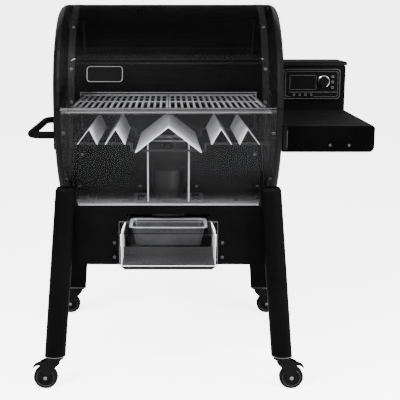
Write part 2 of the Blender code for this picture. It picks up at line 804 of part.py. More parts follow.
def hopper_body():
    """Pellet bin with a chute down to the auger, open at the top."""
    x0, x1 = HOPPER_X
    y0, y1 = HOPPER_Y
    sheet = SHEET
    box = block((x0, x1), (y0, y1), (HOPPER_FLOOR, HOPPER_TOP))
    chute = [(x0, CHUTE_Z), (0.090, CHUTE_Z)]
    chute += [(0.360, HOPPER_FLOOR + 0.001), (x0, HOPPER_FLOOR + 0.001)]
    outside = union(box, prism(chute, "Y", y0, CHUTE_BACK))
    space = block((x0 + sheet, x1 - sheet), (y0 + sheet, y1 - sheet), (HOPPER_FLOOR + sheet, 1.1))
    slot = [(x0 + sheet, CHUTE_Z + sheet), (0.090 - sheet / 2, CHUTE_Z + sheet)]
    slot += [(0.352, HOPPER_FLOOR + 0.003), (x0 + sheet, HOPPER_FLOOR + 0.003)]
    lower = prism(slot, "Y", y0 + sheet, CHUTE_BACK - sheet)
    feed = rod(auger_point(0.20), auger_point(0.27), AUGER_SCREW_R + 0.0015, 20)
    shaft = rod(auger_point(0.33), auger_point(0.40), 0.0080, 12)
    socket = block((0.535, 0.575), (y1 - 0.001, y1 + 0.003), (0.790, 0.822))
    recess = block((0.540, 0.570), (y1 - 0.001, y1 + 0.010), (0.795, 0.817))
    body = cut(union(outside, socket), recess)
    ears = []
    for x in (-0.02, 0.56):
        ears.append(hopper_ear(x))
    body = union(body, *ears)
    y, z = HOPPER_LID_HINGE.y, HOPPER_LID_HINGE.z
    bore = rod((-0.2, y, z), (0.8, y, z), 0.0023, 10)
    return cut(body, space, lower, feed, shaft, bore)


def hopper_ear(x):
    """Small eye at the top of the rear wall for the hopper lid's pins."""
    y, z = HOPPER_LID_HINGE.y, HOPPER_LID_HINGE.z
    outline = [(y - 0.0055, z - 0.022), (y - 0.0035, z - 0.022), (y + 0.004, z - 0.004)]
    outline += [(y + 0.0045, z), (y + 0.003, z + 0.0035), (y - 0.003, z + 0.0035), (y - 0.0045, z)]
    return prism(outline, "X", x - 0.004, x + 0.004)


def hopper_lid():
    """Shallow cover with a lip all round and two hinge pins at the rear."""
    x0, x1 = HOPPER_X[0] - 0.006, HOPPER_X[1] + 0.006
    y0, y1 = HOPPER_Y[0] - 0.004, 0.4885
    lip = 0.978
    rings = []
    for z, shrink, round_by in (
        (lip, 0.0, 0.012),
        (HOPPER_LID_TOP - 0.003, 0.0, 0.012),
        (HOPPER_LID_TOP, 0.003, 0.010),
    ):
        outline = rounded_rectangle((x0 + shrink, x1 - shrink), (y0 + shrink, y1 - shrink), round_by)
        rings.append([(x, y, z) for x, y in outline])
    cover = loft(rings)
    inside = rounded_rectangle((x0 + 0.002, x1 - 0.002), (y0 + 0.002, y1 - 0.002), 0.010)
    hollow = prism(inside, "Z", lip - 0.01, HOPPER_LID_TOP - 0.002)
    notches = []
    for x in (-0.02, 0.56):
        notches.append(block((x - 0.0055, x + 0.0055), (0.4835, 0.495), (0.970, 0.9885)))
    cover = cut(cover, hollow, *notches)
    pins = []
    for x in (-0.02, 0.56):
        y, z = HOPPER_LID_HINGE.y, HOPPER_LID_HINGE.z
        pins.append(rod((x - 0.009, y, z), (x + 0.009, y, z), 0.0020, 10))
        for end in (-0.009, 0.0065):
            x_range = (x + end, x + end + 0.0025)
            pins.append(block(x_range, (y - 0.003, y + 0.003), (z - 0.003, HOPPER_LID_TOP - 0.001)))
    return union(cover, *pins)


def hopper_guard():
    """Wire guard that keeps fingers off the auger, lying across the bin."""
    bars = 23
    x0, x1 = HOPPER_X[0] + 0.004, HOPPER_X[1] - 0.004
    y0, y1 = HOPPER_Y[0] + 0.004, HOPPER_Y[1] - 0.004
    wire = 0.004
    pitch = (x1 - x0 - wire) / (bars - 1)
    xs = []
    for i in range(bars):
        xs += [x0 + pitch * i, x0 + pitch * i + wire]
    ys = [y0, y0 + wire, y1 - wire, y1]
    return lattice(xs, ys, lambda i, j: i % 2 == 0 or j % 2 == 0, (0.780, 0.784))


def control_housing():
    outline = rounded_rectangle(CONTROL_X, CONTROL_Z, 0.010, 4)
    edge = 0.0012
    inner = rounded_rectangle(
        (CONTROL_X[0] + edge, CONTROL_X[1] - edge), (CONTROL_Z[0] + edge, CONTROL_Z[1] - edge), 0.009, 4
    )
    back = HOPPER_Y[0] - GAP
    rings = [[(x, CONTROL_Y, z) for x, z in inner], [(x, CONTROL_Y + edge, z) for x, z in outline]]
    rings.append([(x, back, z) for x, z in outline])
    wells = [rod((BUTTON_X, 0.27, z), (BUTTON_X, 0.2880, z), BUTTON_R + GAP, 16) for z in BUTTON_Z]
    return cut(loft(rings), *wells)


def display():
    outline = rounded_rectangle(SCREEN_X, SCREEN_Z, 0.003, 3)
    return prism(outline, "Y", CONTROL_Y - GAP - 0.0015, CONTROL_Y - GAP)


def knob():
    base = CONTROL_Y - GAP
    rings = []
    for radius, y in (
        (KNOB_R, base),
        (KNOB_R, base - 0.003),
        (KNOB_R - 0.003, base - 0.005),
        (KNOB_R - 0.004, base - 0.016),
        (KNOB_R - 0.0055, base - 0.018),
    ):
        rings.append([(x, y, z) for x, z in circle(radius, 32, (KNOB_X, KNOB_Z))])
    return loft(rings)


def button(z_middle):
    rings = []
    for radius, y in ((BUTTON_R - 0.0008, 0.2765), (BUTTON_R, 0.2773), (BUTTON_R, 0.2855)):
        rings.append([(x, y, z) for x, z in circle(radius, 16, (BUTTON_X, z_middle))])
    return loft(rings)


def probe_ports():
    """Strip with four round jacks for meat probes."""
    y1 = CONTROL_Y - GAP
    x_range = (PORT_X[0] - 0.011, PORT_X[-1] + 0.011)
    outline = rounded_rectangle(x_range, (PORT_Z - 0.0075, PORT_Z + 0.0075), 0.004, 3)
    strip = prism(outline, "Y", y1 - 0.0015, y1)
    collars = [rod((x, y1 - 0.0035, PORT_Z), (x, y1 - 0.0005, PORT_Z), 0.0052, 14) for x in PORT_X]
    holes = [rod((x, y1 - 0.01, PORT_Z), (x, y1 - 0.0007, PORT_Z), 0.0026, 10) for x in PORT_X]
    return cut(union(strip, *collars), *holes)


def build_hopper():
    add_object("hopper_body", hopper_body(), "black_powder_coat")
    add_object("hopper_lid", hopper_lid(), "black_enamel", HOPPER_LID_HINGE)
    add_object("hopper_guard", hopper_guard(), "dark_steel")
    add_object("control_housing", control_housing(), "black_plastic")
    add_object("display", display(), "screen_glass")
    add_object("knob", knob(), "chrome", (KNOB_X, CONTROL_Y, KNOB_Z))
    for number, z in enumerate(BUTTON_Z, 1):
        add_object(f"button_{number}", button(z), "black_plastic", (BUTTON_X, CONTROL_Y, z))
    add_object("probe_ports", probe_ports(), "chrome")


def side_table():
    """Folded sheet shelf with a skirt, on two spacers against the cookbox."""
    x0, x1 = TABLE_X
    outline = [(x0, TABLE_TOP), (x0, TABLE_SKIRT), (x1 - 0.012, TABLE_SKIRT)]
    outline += [(x1 - 0.004, TABLE_SKIRT + 0.005), (x1, TABLE_SKIRT + 0.014)]
    outline += [(x1, TABLE_TOP - 0.006), (x1 - 0.006, TABLE_TOP)]
    shell = prism(outline, "Y", *TABLE_Y)
    y_range = (TABLE_Y[0] + SHEET, TABLE_Y[1] - SHEET)
    inside = block((x0 + SHEET, x1 - SHEET), y_range, (0.60, TABLE_TOP - SHEET))
    shell = cut(shell, inside)
    spacers = []
    for y in (-0.120, 0.120):
        spacers.append(block((CAP_FACE_X + GAP, x0 + 0.001), (y - 0.015, y + 0.015), (0.745, 0.800)))
    return union(shell, *spacers)


# Cart


def leg_ring(x, y, z, facing, shrink=0.0):
    """D-shaped outline of a leg, round on the side that faces out."""
    half = LEG_WIDTH / 2 - shrink
    deep = LEG_DEPTH / 2 - shrink
    flat = deep - 0.008
    points = [(half - 0.003, -deep), (half, -deep + 0.003)]
    for i in range(13):
        angle = math.pi * i / 12
        points.append((half * math.cos(angle), -flat * 0.4 + (deep + flat * 0.4) * math.sin(angle)))
    points += [(-half, -deep + 0.003), (-half + 0.003, -deep)]
    return [(x + a, y + facing * b, z) for a, b in points]


def leg(side, y_pair, facing):
    """Tapering-in hollow leg with a rounded head and a stem hole in its foot."""

    def centre(z):
        share = (z - LEG_FOOT_Z) / (LEG_HEAD_Z - LEG_FOOT_Z)
        x = LEG_FOOT_X + (LEG_HEAD_X - LEG_FOOT_X) * share
        return side * x, y_pair[0] + (y_pair[1] - y_pair[0]) * share

    rings = [leg_ring(*centre(LEG_FOOT_Z), LEG_FOOT_Z, facing)]
    rings.append(leg_ring(*centre(LEG_HEAD_Z - 0.012), LEG_HEAD_Z - 0.012, facing))
    rings.append(leg_ring(*centre(LEG_HEAD_Z - 0.003), LEG_HEAD_Z - 0.003, facing, 0.004))
    rings.append(leg_ring(*centre(LEG_HEAD_Z), LEG_HEAD_Z, facing, 0.010))
    inner = [leg_ring(*centre(z), z, facing, 0.0020) for z in (LEG_FOOT_Z + 0.004, LEG_HEAD_Z - 0.016)]
    foot_x, foot_y = centre(LEG_FOOT_Z)
    stem = rod((foot_x, foot_y, 0.09), (foot_x, foot_y, 0.12), STEM_R + 0.0005, 16)
    return cut(loft(rings), loft(inner), stem)


def front_panel():
    """Front cart panel with the drawer opening and the two drawer runners behind it."""
    top, foot = PANEL_FRONT_TOP, PANEL_FOOT
    gate, gate_top = 0.1502, PAN_Z[1] + 0.004
    outline = [(-PANEL_HALF, foot), (-gate, foot), (-gate, gate_top), (gate, gate_top), (gate, foot)]
    outline += [(PANEL_HALF, foot), (PANEL_HALF, top), (-PANEL_HALF, top)]
    sheet = prism(outline, "Y", PANEL_FRONT_Y, PANEL_FRONT_Y + SHEET)
    runners = []
    for side in (-1, 1):
        corner = [(0.1490, foot), (0.1530, foot), (0.1530, 0.430), (0.1490, 0.430)]
        if side < 0:
            corner = [(-x, z) for x, z in corner]
        runners.append(prism(corner, "Y", PANEL_FRONT_Y + 0.0005, PANEL_REAR_Y - GAP))
        lip = [(side * 0.136, 0.3835), (side * 0.1530, 0.3835)]
        lip += [(side * 0.1530, 0.3860), (side * 0.136, 0.3860)]
        runners.append(prism(lip, "Y", PANEL_FRONT_Y + SHEET + 0.001, PANEL_REAR_Y - GAP))
    return union(sheet, *runners)


def rear_panel():
    outline = [(-PANEL_HALF, PANEL_FOOT), (PANEL_HALF, PANEL_FOOT)]
    outline += [(PANEL_HALF, PANEL_REAR_TOP), (-PANEL_HALF, PANEL_REAR_TOP)]
    return prism(outline, "Y", PANEL_REAR_Y, PANEL_REAR_Y + SHEET)


def side_panel(side):
    """Cradle plate between the legs, its top edge following the barrel."""
    front, back = PANEL_FRONT_Y + SHEET + GAP, PANEL_REAR_Y - GAP
    first = math.pi + math.asin((BARREL_Z - 0.682) / HALF_DROP)
    last = 2 * math.pi - math.asin((BARREL_Z - 0.700) / HALF_DROP)
    steps = 20
    outline = [(front, 0.450), (back, 0.450), (back, 0.690), (0.270, 0.700)]
    for i in range(steps + 1):
        angle = last + (first - last) * i / steps
        y, z = barrel_point(angle, -0.0006)
        if front < y < 0.268:
            outline.append((y, z))
    outline.append((front, outline[-1][1]))
    x0, x1 = SIDE_PANEL_X, SIDE_PANEL_X + SHEET
    return prism(outline, "X", min(side * x0, side * x1), max(side * x0, side * x1))


def cart_handle():
    """Tube loop on the left end with a mounting plate at each foot."""
    wall = -CAP_FACE_X - GAP
    y0, y1 = CART_HANDLE_Y
    z = CART_HANDLE_Z
    corners = [(wall - 0.002, y0, z), (CART_HANDLE_X, y0, z)]
    corners += [(CART_HANDLE_X, y1, z), (wall - 0.002, y1, z)]
    tube = swept_tube(rounded_path(corners, 0.045, 6), CART_HANDLE_R, 14)
    plates = []
    for y in (y0, y1):
        outline = rounded_rectangle((y - 0.018, y + 0.018), (z - 0.045, z + 0.045), 0.010, 3)
        plates.append(prism(outline, "X", wall - 0.004, wall))
    return union(tube, *plates)


def build_cart():
    for side, word in ((-1, "left"), (1, "right")):
        add_object(f"leg_front_{word}", leg(side, LEG_FRONT, -1), "black_powder_coat")
        add_object(f"leg_rear_{word}", leg(side, LEG_REAR, 1), "black_powder_coat")
        add_object(f"side_panel_{word}", side_panel(side), "black_powder_coat")
    add_object("front_panel", front_panel(), "black_powder_coat")
    add_object("rear_panel", rear_panel(), "black_powder_coat")
    add_object("cart_handle", cart_handle(), "black_powder_coat")
    add_object("side_table", side_table(), "black_powder_coat")


# Drawer


def drawer_body():
    """Tray whose side walls are lower at the rear, its front end left to the drawer front."""
    y0, y1 = DRAWER_Y
    low, front, rear = DRAWER_FLOOR, DRAWER_SIDE_TOP, DRAWER_REAR_WALL
    sheet = 0.0015
    outside = prism([(y0, low), (y1, low), (y1, rear), (y0, front)], "X", -DRAWER_HALF, DRAWER_HALF)
    inside = block(
        (-DRAWER_HALF + sheet, DRAWER_HALF - sheet), (y0 - 0.01, y1 - sheet), (low + sheet, 0.60)
    )
    bridges = []
    for y in (PAN_Y - PAN_HALF[1] - 0.004, PAN_Y + PAN_HALF[1] - 0.004):
        x_range = (-DRAWER_HALF + 0.0005, DRAWER_HALF - 0.0005)
        bridges.append(block(x_range, (y, y + 0.008), (0.3875, 0.4145)))
    return union(cut(outside, inside), *bridges)


def drawer_front():
    half = DRAWER_FACE_HALF
    low, high = DRAWER_FACE_Z
    outline = [(-half, low + 0.014), (-half + 0.017, low), (half - 0.017, low), (half, low + 0.014)]
    outline += [(half, high), (-half, high)]
    y1 = DRAWER_Y[0] - GAP
    return prism(outline, "Y", y1 - SHEET, y1)


def drip_pan():
    """Tapered tray with a flat rim."""
    half_x, half_y = PAN_HALF
    low, high = PAN_Z
    rings = []
    for z, shrink, corner in (
        (low, 0.022, 0.014),
        (high - 0.0015, 0.008, 0.016),
        (high - 0.0015, 0.0, 0.018),
        (high, 0.0, 0.018),
        (high, 0.0095, 0.015),
        (low + 0.0015, 0.0235, 0.013),
    ):
        x_range = (-half_x + shrink, half_x - shrink)
        y_range = (PAN_Y - half_y + shrink, PAN_Y + half_y - shrink)
        outline = rounded_rectangle(x_range, y_range, corner, 5)
        rings.append([(x, y, z) for x, y in outline])
    return loft(rings)


def build_drawer():
    pivot = (0.0, DRAWER_Y[0], DRAWER_FLOOR)
    add_object("drawer_body", drawer_body(), "grey_sheet_steel", pivot)
    add_object("drawer_front", drawer_front(), "black_powder_coat", pivot)
    add_object("drip_pan", drip_pan(), "aluminium_foil_tray", pivot)


# Casters


def caster_fork(x, y, side):
    """Swivel plate, stem, two cheeks and the axle, trailing outwards."""
    plate = rod((x, y, CASTER_TOP - 0.006), (x, y, CASTER_TOP), 0.027, 24)
    stem = rod((x, y, CASTER_TOP - 0.002), (x, y, 0.124), STEM_R, 14)
    crown = block(
        (x - 0.016, x + 0.016), (y - CHEEK_Y - 0.0025, y + CHEEK_Y + 0.0025), (0.0865, CASTER_TOP - 0.005)
    )
    profile = [(-0.016, 0.0975), (0.024, 0.0975), (0.048, 0.086), (0.048, 0.077), (0.0395, 0.044)]
    profile += [(0.0385, 0.034), (0.033, 0.029), (0.026, 0.029), (0.021, 0.034)]
    profile += [(0.004, 0.066), (-0.016, 0.0865)]
    cheeks = []
    for face in (-1, 1):
        outline = [(x + side * a, z) for a, z in profile]
        near, far = y + face * CHEEK_Y, y + face * (CHEEK_Y + 0.0025)
        cheeks.append(prism(outline, "Y", min(near, far), max(near, far)))
    ends = CHEEK_Y + 0.0045
    axle_x = x + side * TRAIL
    axle = rod((axle_x, y - ends, WHEEL_R), (axle_x, y + ends, WHEEL_R), AXLE_R, 14)
    return union(plate, stem, crown, *cheeks, axle)


def caster_wheel(x, y, side):
    half = WHEEL_WIDTH / 2
    bore = AXLE_R + 0.0004
    profile = [
        (bore, -half - 0.001),
        (0.010, -half - 0.001),
        (0.011, -half + 0.002),
        (0.026, -half + 0.002),
        (0.028, -half),
        (WHEEL_R - 0.003, -half),
        (WHEEL_R, -half + 0.004),
        (WHEEL_R, half - 0.004),
        (WHEEL_R - 0.003, half),
        (0.028, half),
        (0.026, half - 0.002),
        (0.011, half - 0.002),
        (0.010, half + 0.001),
        (bore, half + 0.001),
    ]
    return lathe(profile, (x + side * TRAIL, y, WHEEL_R), (0, 1, 0), 24)


def brake_lever(x, y, side):
    """Foot lever that reaches out over the wheel, on a cross pin between the cheeks."""
    profile = [(0.036, 0.0835), (0.036, 0.0795), (0.046, 0.0795), (0.060, 0.0760), (0.0675, 0.0690)]
    profile += [(0.0700, 0.0715), (0.063, 0.0790), (0.050, 0.0850), (0.040, 0.0860)]
    outline = [(x + side * a, z) for a, z in profile]
    tab = prism(outline, "Y", y - 0.0105, y + 0.0105)
    pin_x = x + side * 0.041
    pin = rod((pin_x, y - CHEEK_Y + 0.0006, 0.0825), (pin_x, y + CHEEK_Y - 0.0006, 0.0825), 0.0028, 10)
    return union(tab, pin)


def build_casters():
    for row, y in (("front", LEG_FRONT[0]), ("rear", LEG_REAR[0])):
        for side, word in ((-1, "left"), (1, "right")):
            x = side * LEG_FOOT_X
            axle = (x + side * TRAIL, y, WHEEL_R)
            add_object(f"fork_{row}_{word}", caster_fork(x, y, side), "dark_steel", (x, y, 0.09))
            add_object(f"wheel_{row}_{word}", caster_wheel(x, y, side), "black_rubber", axle)
            if row == "front":
                pivot = (x + side * 0.041, y, 0.0825)
                add_object(f"brake_{row}_{word}", brake_lever(x, y, side), "dark_steel", pivot)


def main():
    clear_scene()
    build_lid()
    build_cookbox()
    build_inside()
    build_feed()
    build_hopper()
    build_cart()
    build_drawer()
    build_casters()


main()
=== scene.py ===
"""Looks of the pellet smoker grill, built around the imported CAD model."""

import math

import bmesh
import bpy
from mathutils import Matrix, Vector


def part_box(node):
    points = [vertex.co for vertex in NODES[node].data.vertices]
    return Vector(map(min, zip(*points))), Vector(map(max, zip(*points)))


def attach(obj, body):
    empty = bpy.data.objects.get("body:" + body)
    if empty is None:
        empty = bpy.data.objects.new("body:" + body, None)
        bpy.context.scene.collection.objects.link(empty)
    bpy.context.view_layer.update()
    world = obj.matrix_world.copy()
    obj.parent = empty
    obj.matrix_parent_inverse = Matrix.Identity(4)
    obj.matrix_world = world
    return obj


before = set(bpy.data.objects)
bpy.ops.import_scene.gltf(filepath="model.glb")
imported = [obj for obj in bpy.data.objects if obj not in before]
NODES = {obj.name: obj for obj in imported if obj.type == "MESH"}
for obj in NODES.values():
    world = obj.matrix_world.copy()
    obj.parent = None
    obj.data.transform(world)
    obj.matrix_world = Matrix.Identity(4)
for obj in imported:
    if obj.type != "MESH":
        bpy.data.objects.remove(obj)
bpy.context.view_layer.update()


# Places, read from the CAD nodes where they can be. The barrel's wall is two half ellipses with
# one depth, HALF_RISE high above BARREL_Z and HALF_DROP deep below it. SEAM_DEG is where the
# cookbox's front skin ends, HOPPER_REAR the hopper's rear wall under its lid's overhang, and HAIR
# the gap that keeps trim off a surface.

BARREL_X = sum(corner.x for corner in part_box("cookbox_back")) / 2
CAP_LOW, CAP_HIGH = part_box("cookbox_cap_left")
LID_LOW, LID_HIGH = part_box("lid_front")
BARREL_Y = (CAP_LOW.y + CAP_HIGH.y) / 2
HALF_DEPTH = (CAP_HIGH.y - CAP_LOW.y) / 2
HALF_RISE = 0.300
BARREL_Z = LID_HIGH.z - HALF_RISE
HALF_DROP = BARREL_Z - CAP_LOW.z
SKIN_X = (LID_HIGH.x - LID_LOW.x) / 2
SEAM_DEG = 253.0
HOPPER_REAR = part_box("hopper_lid")[1].y - 0.0155
HAIR = 0.0004

SIDES = (("left", -1), ("right", 1))
CORNERS = [(row, word) for row in ("front", "rear") for word in ("left", "right")]


def barrel(angle_deg, lift=0.0):
    """Point (y, z) on the barrel's wall, lifted off it, the angle counted up from the rear."""
    turn = math.radians(angle_deg)
    rise = HALF_RISE if math.sin(turn) >= 0 else HALF_DROP
    y = BARREL_Y + (HALF_DEPTH + lift) * math.cos(turn)
    return y, BARREL_Z + (rise + lift) * math.sin(turn)


def front_angle(z):
    """Angle of the front wall at a height."""
    rise = HALF_RISE if z >= BARREL_Z else HALF_DROP
    return 180.0 - math.degrees(math.asin((z - BARREL_Z) / rise))


def on_barrel(x, angle_deg, lift=0.0):
    """Point on the barrel, x counted from its middle, with the direction square to the wall."""
    y, z = barrel(angle_deg, lift)
    turn = math.radians(angle_deg)
    rise = HALF_RISE if math.sin(turn) >= 0 else HALF_DROP
    normal = Vector((0.0, math.cos(turn) / HALF_DEPTH, math.sin(turn) / rise)).normalized()
    return Vector((BARREL_X + x, y, z)), normal


# Materials


class Paint:
    """One procedural material, built node by node."""

    def __init__(self, name, roughness=0.5, metallic=0.0, specular=0.5):
        self.material = bpy.data.materials.new(name)
        self.material.use_nodes = True
        self.nodes = self.material.node_tree.nodes
        self.links = self.material.node_tree.links
        self.shader = self.nodes["Principled BSDF"]
        self.set("Roughness", roughness)
        self.set("Metallic", metallic)
        self.set("Specular IOR Level", specular)
        self.place = self.nodes.new("ShaderNodeTexCoord").outputs["Object"]

    def set(self, socket, value):
        self.shader.inputs[socket].default_value = value

    def link(self, output, target):
        self.links.new(output, target)

    def stretched(self, scale):
        mapping = self.nodes.new("ShaderNodeMapping")
        mapping.inputs["Scale"].default_value = scale
        self.link(self.place, mapping.inputs["Vector"])
        return mapping.outputs["Vector"]

    def noise(self, scale, detail=4.0, stretch=None, rough=0.55):
        node = self.nodes.new("ShaderNodeTexNoise")
        node.inputs["Scale"].default_value = scale
        node.inputs["Detail"].default_value = detail
        node.inputs["Roughness"].default_value = rough
        self.link(self.stretched(stretch) if stretch else self.place, node.inputs["Vector"])
        return node.outputs["Fac"]

    def ramp(self, value, stops):
        node = self.nodes.new("ShaderNodeValToRGB")
        ramp = node.color_ramp
        while len(ramp.elements) < len(stops):
            ramp.elements.new(0.5)
        for element, (position, colour) in zip(ramp.elements, stops):
            element.position = position
            element.color = (*colour, 1.0)
        self.link(value, node.inputs["Fac"])
        return node.outputs["Color"]

    def grey_ramp(self, value, stops):
        return self.ramp(value, [(position, (v, v, v)) for position, v in stops])

    def axis(self, letter):
        """Coordinate along one axis, in metres, before a pose moves the object."""
        split = self.nodes.new("ShaderNodeSeparateXYZ")
        self.link(self.place, split.inputs[0])
        return split.outputs[letter]

    def offset(self, letter, middle):
        return self.math("SUBTRACT", self.axis(letter), middle)

    def away(self, letter, middle):
        """Distance to either side of a coordinate on one axis."""
        return self.math("ABSOLUTE", self.offset(letter, middle))

    def squares(self, a, b):
        """Sum of two squares."""
        return self.math("ADD", self.math("MULTIPLY", a, a), self.math("MULTIPLY", b, b))

    def off_centre(self, middle):
        """Distance from a line that runs front to back through a point."""
        square = self.squares(self.offset("X", middle.x), self.offset("Z", middle.z))
        return self.math("SQRT", square)

    def math(self, kind, a, b=0.0):
        node = self.nodes.new("ShaderNodeMath")
        node.operation = kind
        for socket, value in zip(node.inputs, (a, b)):
            if isinstance(value, (int, float)):
                socket.default_value = value
            else:
                self.link(value, socket)
        return node.outputs["Value"]

    def fade(self, value, low, high, start=0.0, end=1.0):
        """Runs smoothly from start to end as a value goes from low to high."""
        node = self.nodes.new("ShaderNodeMapRange")
        node.interpolation_type = "SMOOTHSTEP"
        sockets = ("From Min", "From Max", "To Min", "To Max")
        for socket, number in zip(sockets, (low, high, start, end)):
            node.inputs[socket].default_value = number
        self.link(value, node.inputs["Value"])
        return node.outputs["Result"]

    def mix(self, amount, a, b, kind="MIX"):
        node = self.nodes.new("ShaderNodeMix")
        node.data_type = "RGBA"
        node.blend_type = kind
        sockets = (node.inputs["Factor"], node.inputs[6], node.inputs[7])
        for socket, value in zip(sockets, (amount, a, b)):
            if isinstance(value, tuple):
                socket.default_value = (*value, 1.0)
            elif isinstance(value, float):
                socket.default_value = value
            else:
                self.link(value, socket)
        return node.outputs[2]

    def colour(self, output):
        self.link(output, self.shader.inputs["Base Color"])

    def painted(self):
        """The colour as it stands, to mix with another."""
        return self.shader.inputs["Base Color"].links[0].from_socket

    def rough(self, output):
        self.link(output, self.shader.inputs["Roughness"])

    def see_through(self, output):
        self.link(output, self.shader.inputs["Alpha"])

    def bump(self, height, strength, distance):
        node = self.nodes.new("ShaderNodeBump")
        node.inputs["Strength"].default_value = strength
        node.inputs["Distance"].default_value = distance
        self.link(height, node.inputs["Height"])
        self.link(node.outputs["Normal"], self.shader.inputs["Normal"])


def grey(value, blue=1.04):
    return (value, value, value * blue)


def enamel(name, dark, light, low=0.26, high=0.46, alpha=None, specular=0.1):
    """Fired enamel: even colour, faint smudges in the gloss, very fine orange peel."""
    paint = Paint(name, specular=specular)
    smudge = paint.noise(6.0, 6.0)
    paint.colour(paint.ramp(smudge, [(0.35, grey(dark)), (0.70, grey(light))]))
    paint.rough(paint.grey_ramp(paint.noise(14.0, 5.0), [(0.30, low), (0.72, high)]))
    paint.bump(paint.noise(420.0, 2.0), 0.10, 0.00004)
    if alpha is not None:
        paint.set("Alpha", alpha)
    return paint


def powder(name, dark, light, specular=0.1):
    """Powder coat: fine pebbled texture and a little dust that lightens it in patches."""
    paint = Paint(name, specular=specular)
    dust = paint.noise(9.0, 8.0)
    paint.colour(paint.ramp(dust, [(0.38, grey(dark)), (0.72, grey(light))]))
    paint.rough(paint.grey_ramp(paint.noise(22.0, 4.0), [(0.25, 0.48), (0.75, 0.66)]))
    paint.bump(paint.noise(900.0, 3.0), 0.22, 0.0004)
    return paint


def brushed(name, dark, light, stretch, low=0.28, high=0.46, metallic=0.35):
    """Sheet metal with fine brush lines along one axis and soft darker patches."""
    paint = Paint(name, metallic=metallic)
    lines = paint.noise(40.0, 6.0, stretch, 0.7)
    patches = paint.noise(7.0, 4.0)
    grain = paint.ramp(lines, [(0.30, grey(dark)), (0.70, grey(light))])
    soft = paint.grey_ramp(patches, [(0.35, 0.82), (0.65, 1.0)])
    paint.colour(paint.mix(1.0, grain, soft, "MULTIPLY"))
    paint.rough(paint.grey_ramp(lines, [(0.25, low), (0.75, high)]))
    paint.bump(lines, 0.12, 0.0003)
    return paint


def rubber(name):
    paint = Paint(name, specular=0.04)
    dust = paint.noise(60.0, 6.0)
    paint.colour(paint.ramp(dust, [(0.40, grey(0.0015)), (0.75, (0.0050, 0.0048, 0.0045))]))
    paint.rough(paint.grey_ramp(dust, [(0.30, 0.60), (0.75, 0.85)]))
    paint.bump(paint.noise(500.0, 3.0), 0.25, 0.0006)
    return paint


def partly(paint, mask, other):
    """Paint another grey where the mask is 1."""
    paint.colour(paint.mix(mask, paint.painted(), other))
    return paint


def cap_enamel():
    """End caps: darker outside, with painted light making the inside face lighter."""
    paint = enamel("cap_enamel", 0.0018, 0.0034, 0.36, 0.56, None, 0.03)
    across = paint.fade(paint.away("X", BARREL_X), SKIN_X + 0.020, SKIN_X + 0.0225, 1.0, 0.0)
    mean_rise = (HALF_RISE + HALF_DROP) / 2
    forward = paint.math("DIVIDE", paint.offset("Y", BARREL_Y), HALF_DEPTH)
    upward = paint.math("DIVIDE", paint.offset("Z", BARREL_Z), mean_rise)
    square = paint.squares(forward, upward)
    within = paint.fade(square, 0.84, 0.89, 1.0, 0.0)
    # Painted light: the inside face within the barrel is painted lighter.
    return partly(paint, paint.math("MULTIPLY", across, within), grey(0.015))


def floor_enamel():
    """Cookbox: black, with a painted reflection of the floor as a pale band along the bottom
    where the front skin ends.
    """
    paint = enamel("cookbox_enamel", 0.0010, 0.0022)
    y, z = barrel(SEAM_DEG)
    near = paint.fade(paint.axis("Y"), y - 0.005, y + 0.120, 1.0, 0.0)
    low = paint.fade(paint.axis("Z"), z + 0.004, z + 0.030, 1.0, 0.0)
    streaks = paint.fade(paint.noise(30.0, 5.0, (1.0, 0.2, 1.0)), 0.25, 0.75, 0.65, 1.0)
    # Painted reflection of the floor, broken into streaks, near the seam at the bottom.
    painted_floor_reflection = paint.math("MULTIPLY", paint.math("MULTIPLY", near, low), streaks)
    return partly(paint, painted_floor_reflection, grey(0.50))


def shelf_powder():
    """Shelf: its top painted paler than its skirt, a painted sheen of the light from above."""
    paint = powder("table_powder_coat", 0.0003, 0.0008, 0.01)
    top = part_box("side_table")[1].z
    # Painted sheen: the top face is painted lighter.
    face = paint.fade(paint.axis("Z"), top - 0.0012, top - 0.0004)
    return partly(paint, face, grey(0.0060))


def smoked_cookbox():
    """Cookbox front: see-through, with a painted reflection of the floor as a pale band towards
    its bottom edge.
    """
    paint = enamel("smoked_cookbox", 0.030, 0.045, 0.35, 0.55, None, 0.05)
    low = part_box("cookbox_front")[0].z
    height = paint.axis("Z")
    # Painted reflection of the floor along the bottom edge.
    partly(paint, paint.fade(height, low, low + 0.050, 1.0, 0.0), grey(0.32))
    paint.see_through(paint.fade(height, low, low + 0.070, 0.34, 0.10))
    return paint


def grate_steel():
    """Grates: bright along the top of each bar, darkened down its sides by soot and painted
    shade.
    """
    paint = brushed("grate_steel", 0.50, 0.72, (1.0, 0.04, 1.0))
    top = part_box("grate_left")[1].z
    # Soot and painted shade down the sides of the bars.
    soot_and_shade = paint.fade(paint.axis("Z"), top - 0.0030, top - 0.0012, 1.0, 0.0)
    return partly(paint, soot_and_shade, grey(0.010))


def frame_steel():
    """Grate frame: bright where the grates sit, black below with soot and painted shade under the
    grates.
    """
    paint = brushed("frame_steel", 0.30, 0.50, (0.04, 1.0, 1.0))
    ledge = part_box("grate_left")[0].z
    # Soot and painted shade under the grates.
    soot_and_shade = paint.fade(paint.axis("Z"), ledge - 0.014, ledge - 0.006, 1.0, 0.0)
    return partly(paint, soot_and_shade, grey(0.004))


def column_steel():
    """Fire column: heat-blued sheet with a painted highlight as a bright collar at its top."""
    paint = brushed("column_steel", 0.015, 0.030, (0.3, 0.3, 0.05), 0.35, 0.55)
    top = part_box("fire_column")[1].z
    # Painted highlight along the top of the column.
    collar = paint.fade(paint.axis("Z"), top - 0.005, top - 0.0035)
    return partly(paint, collar, grey(0.42))


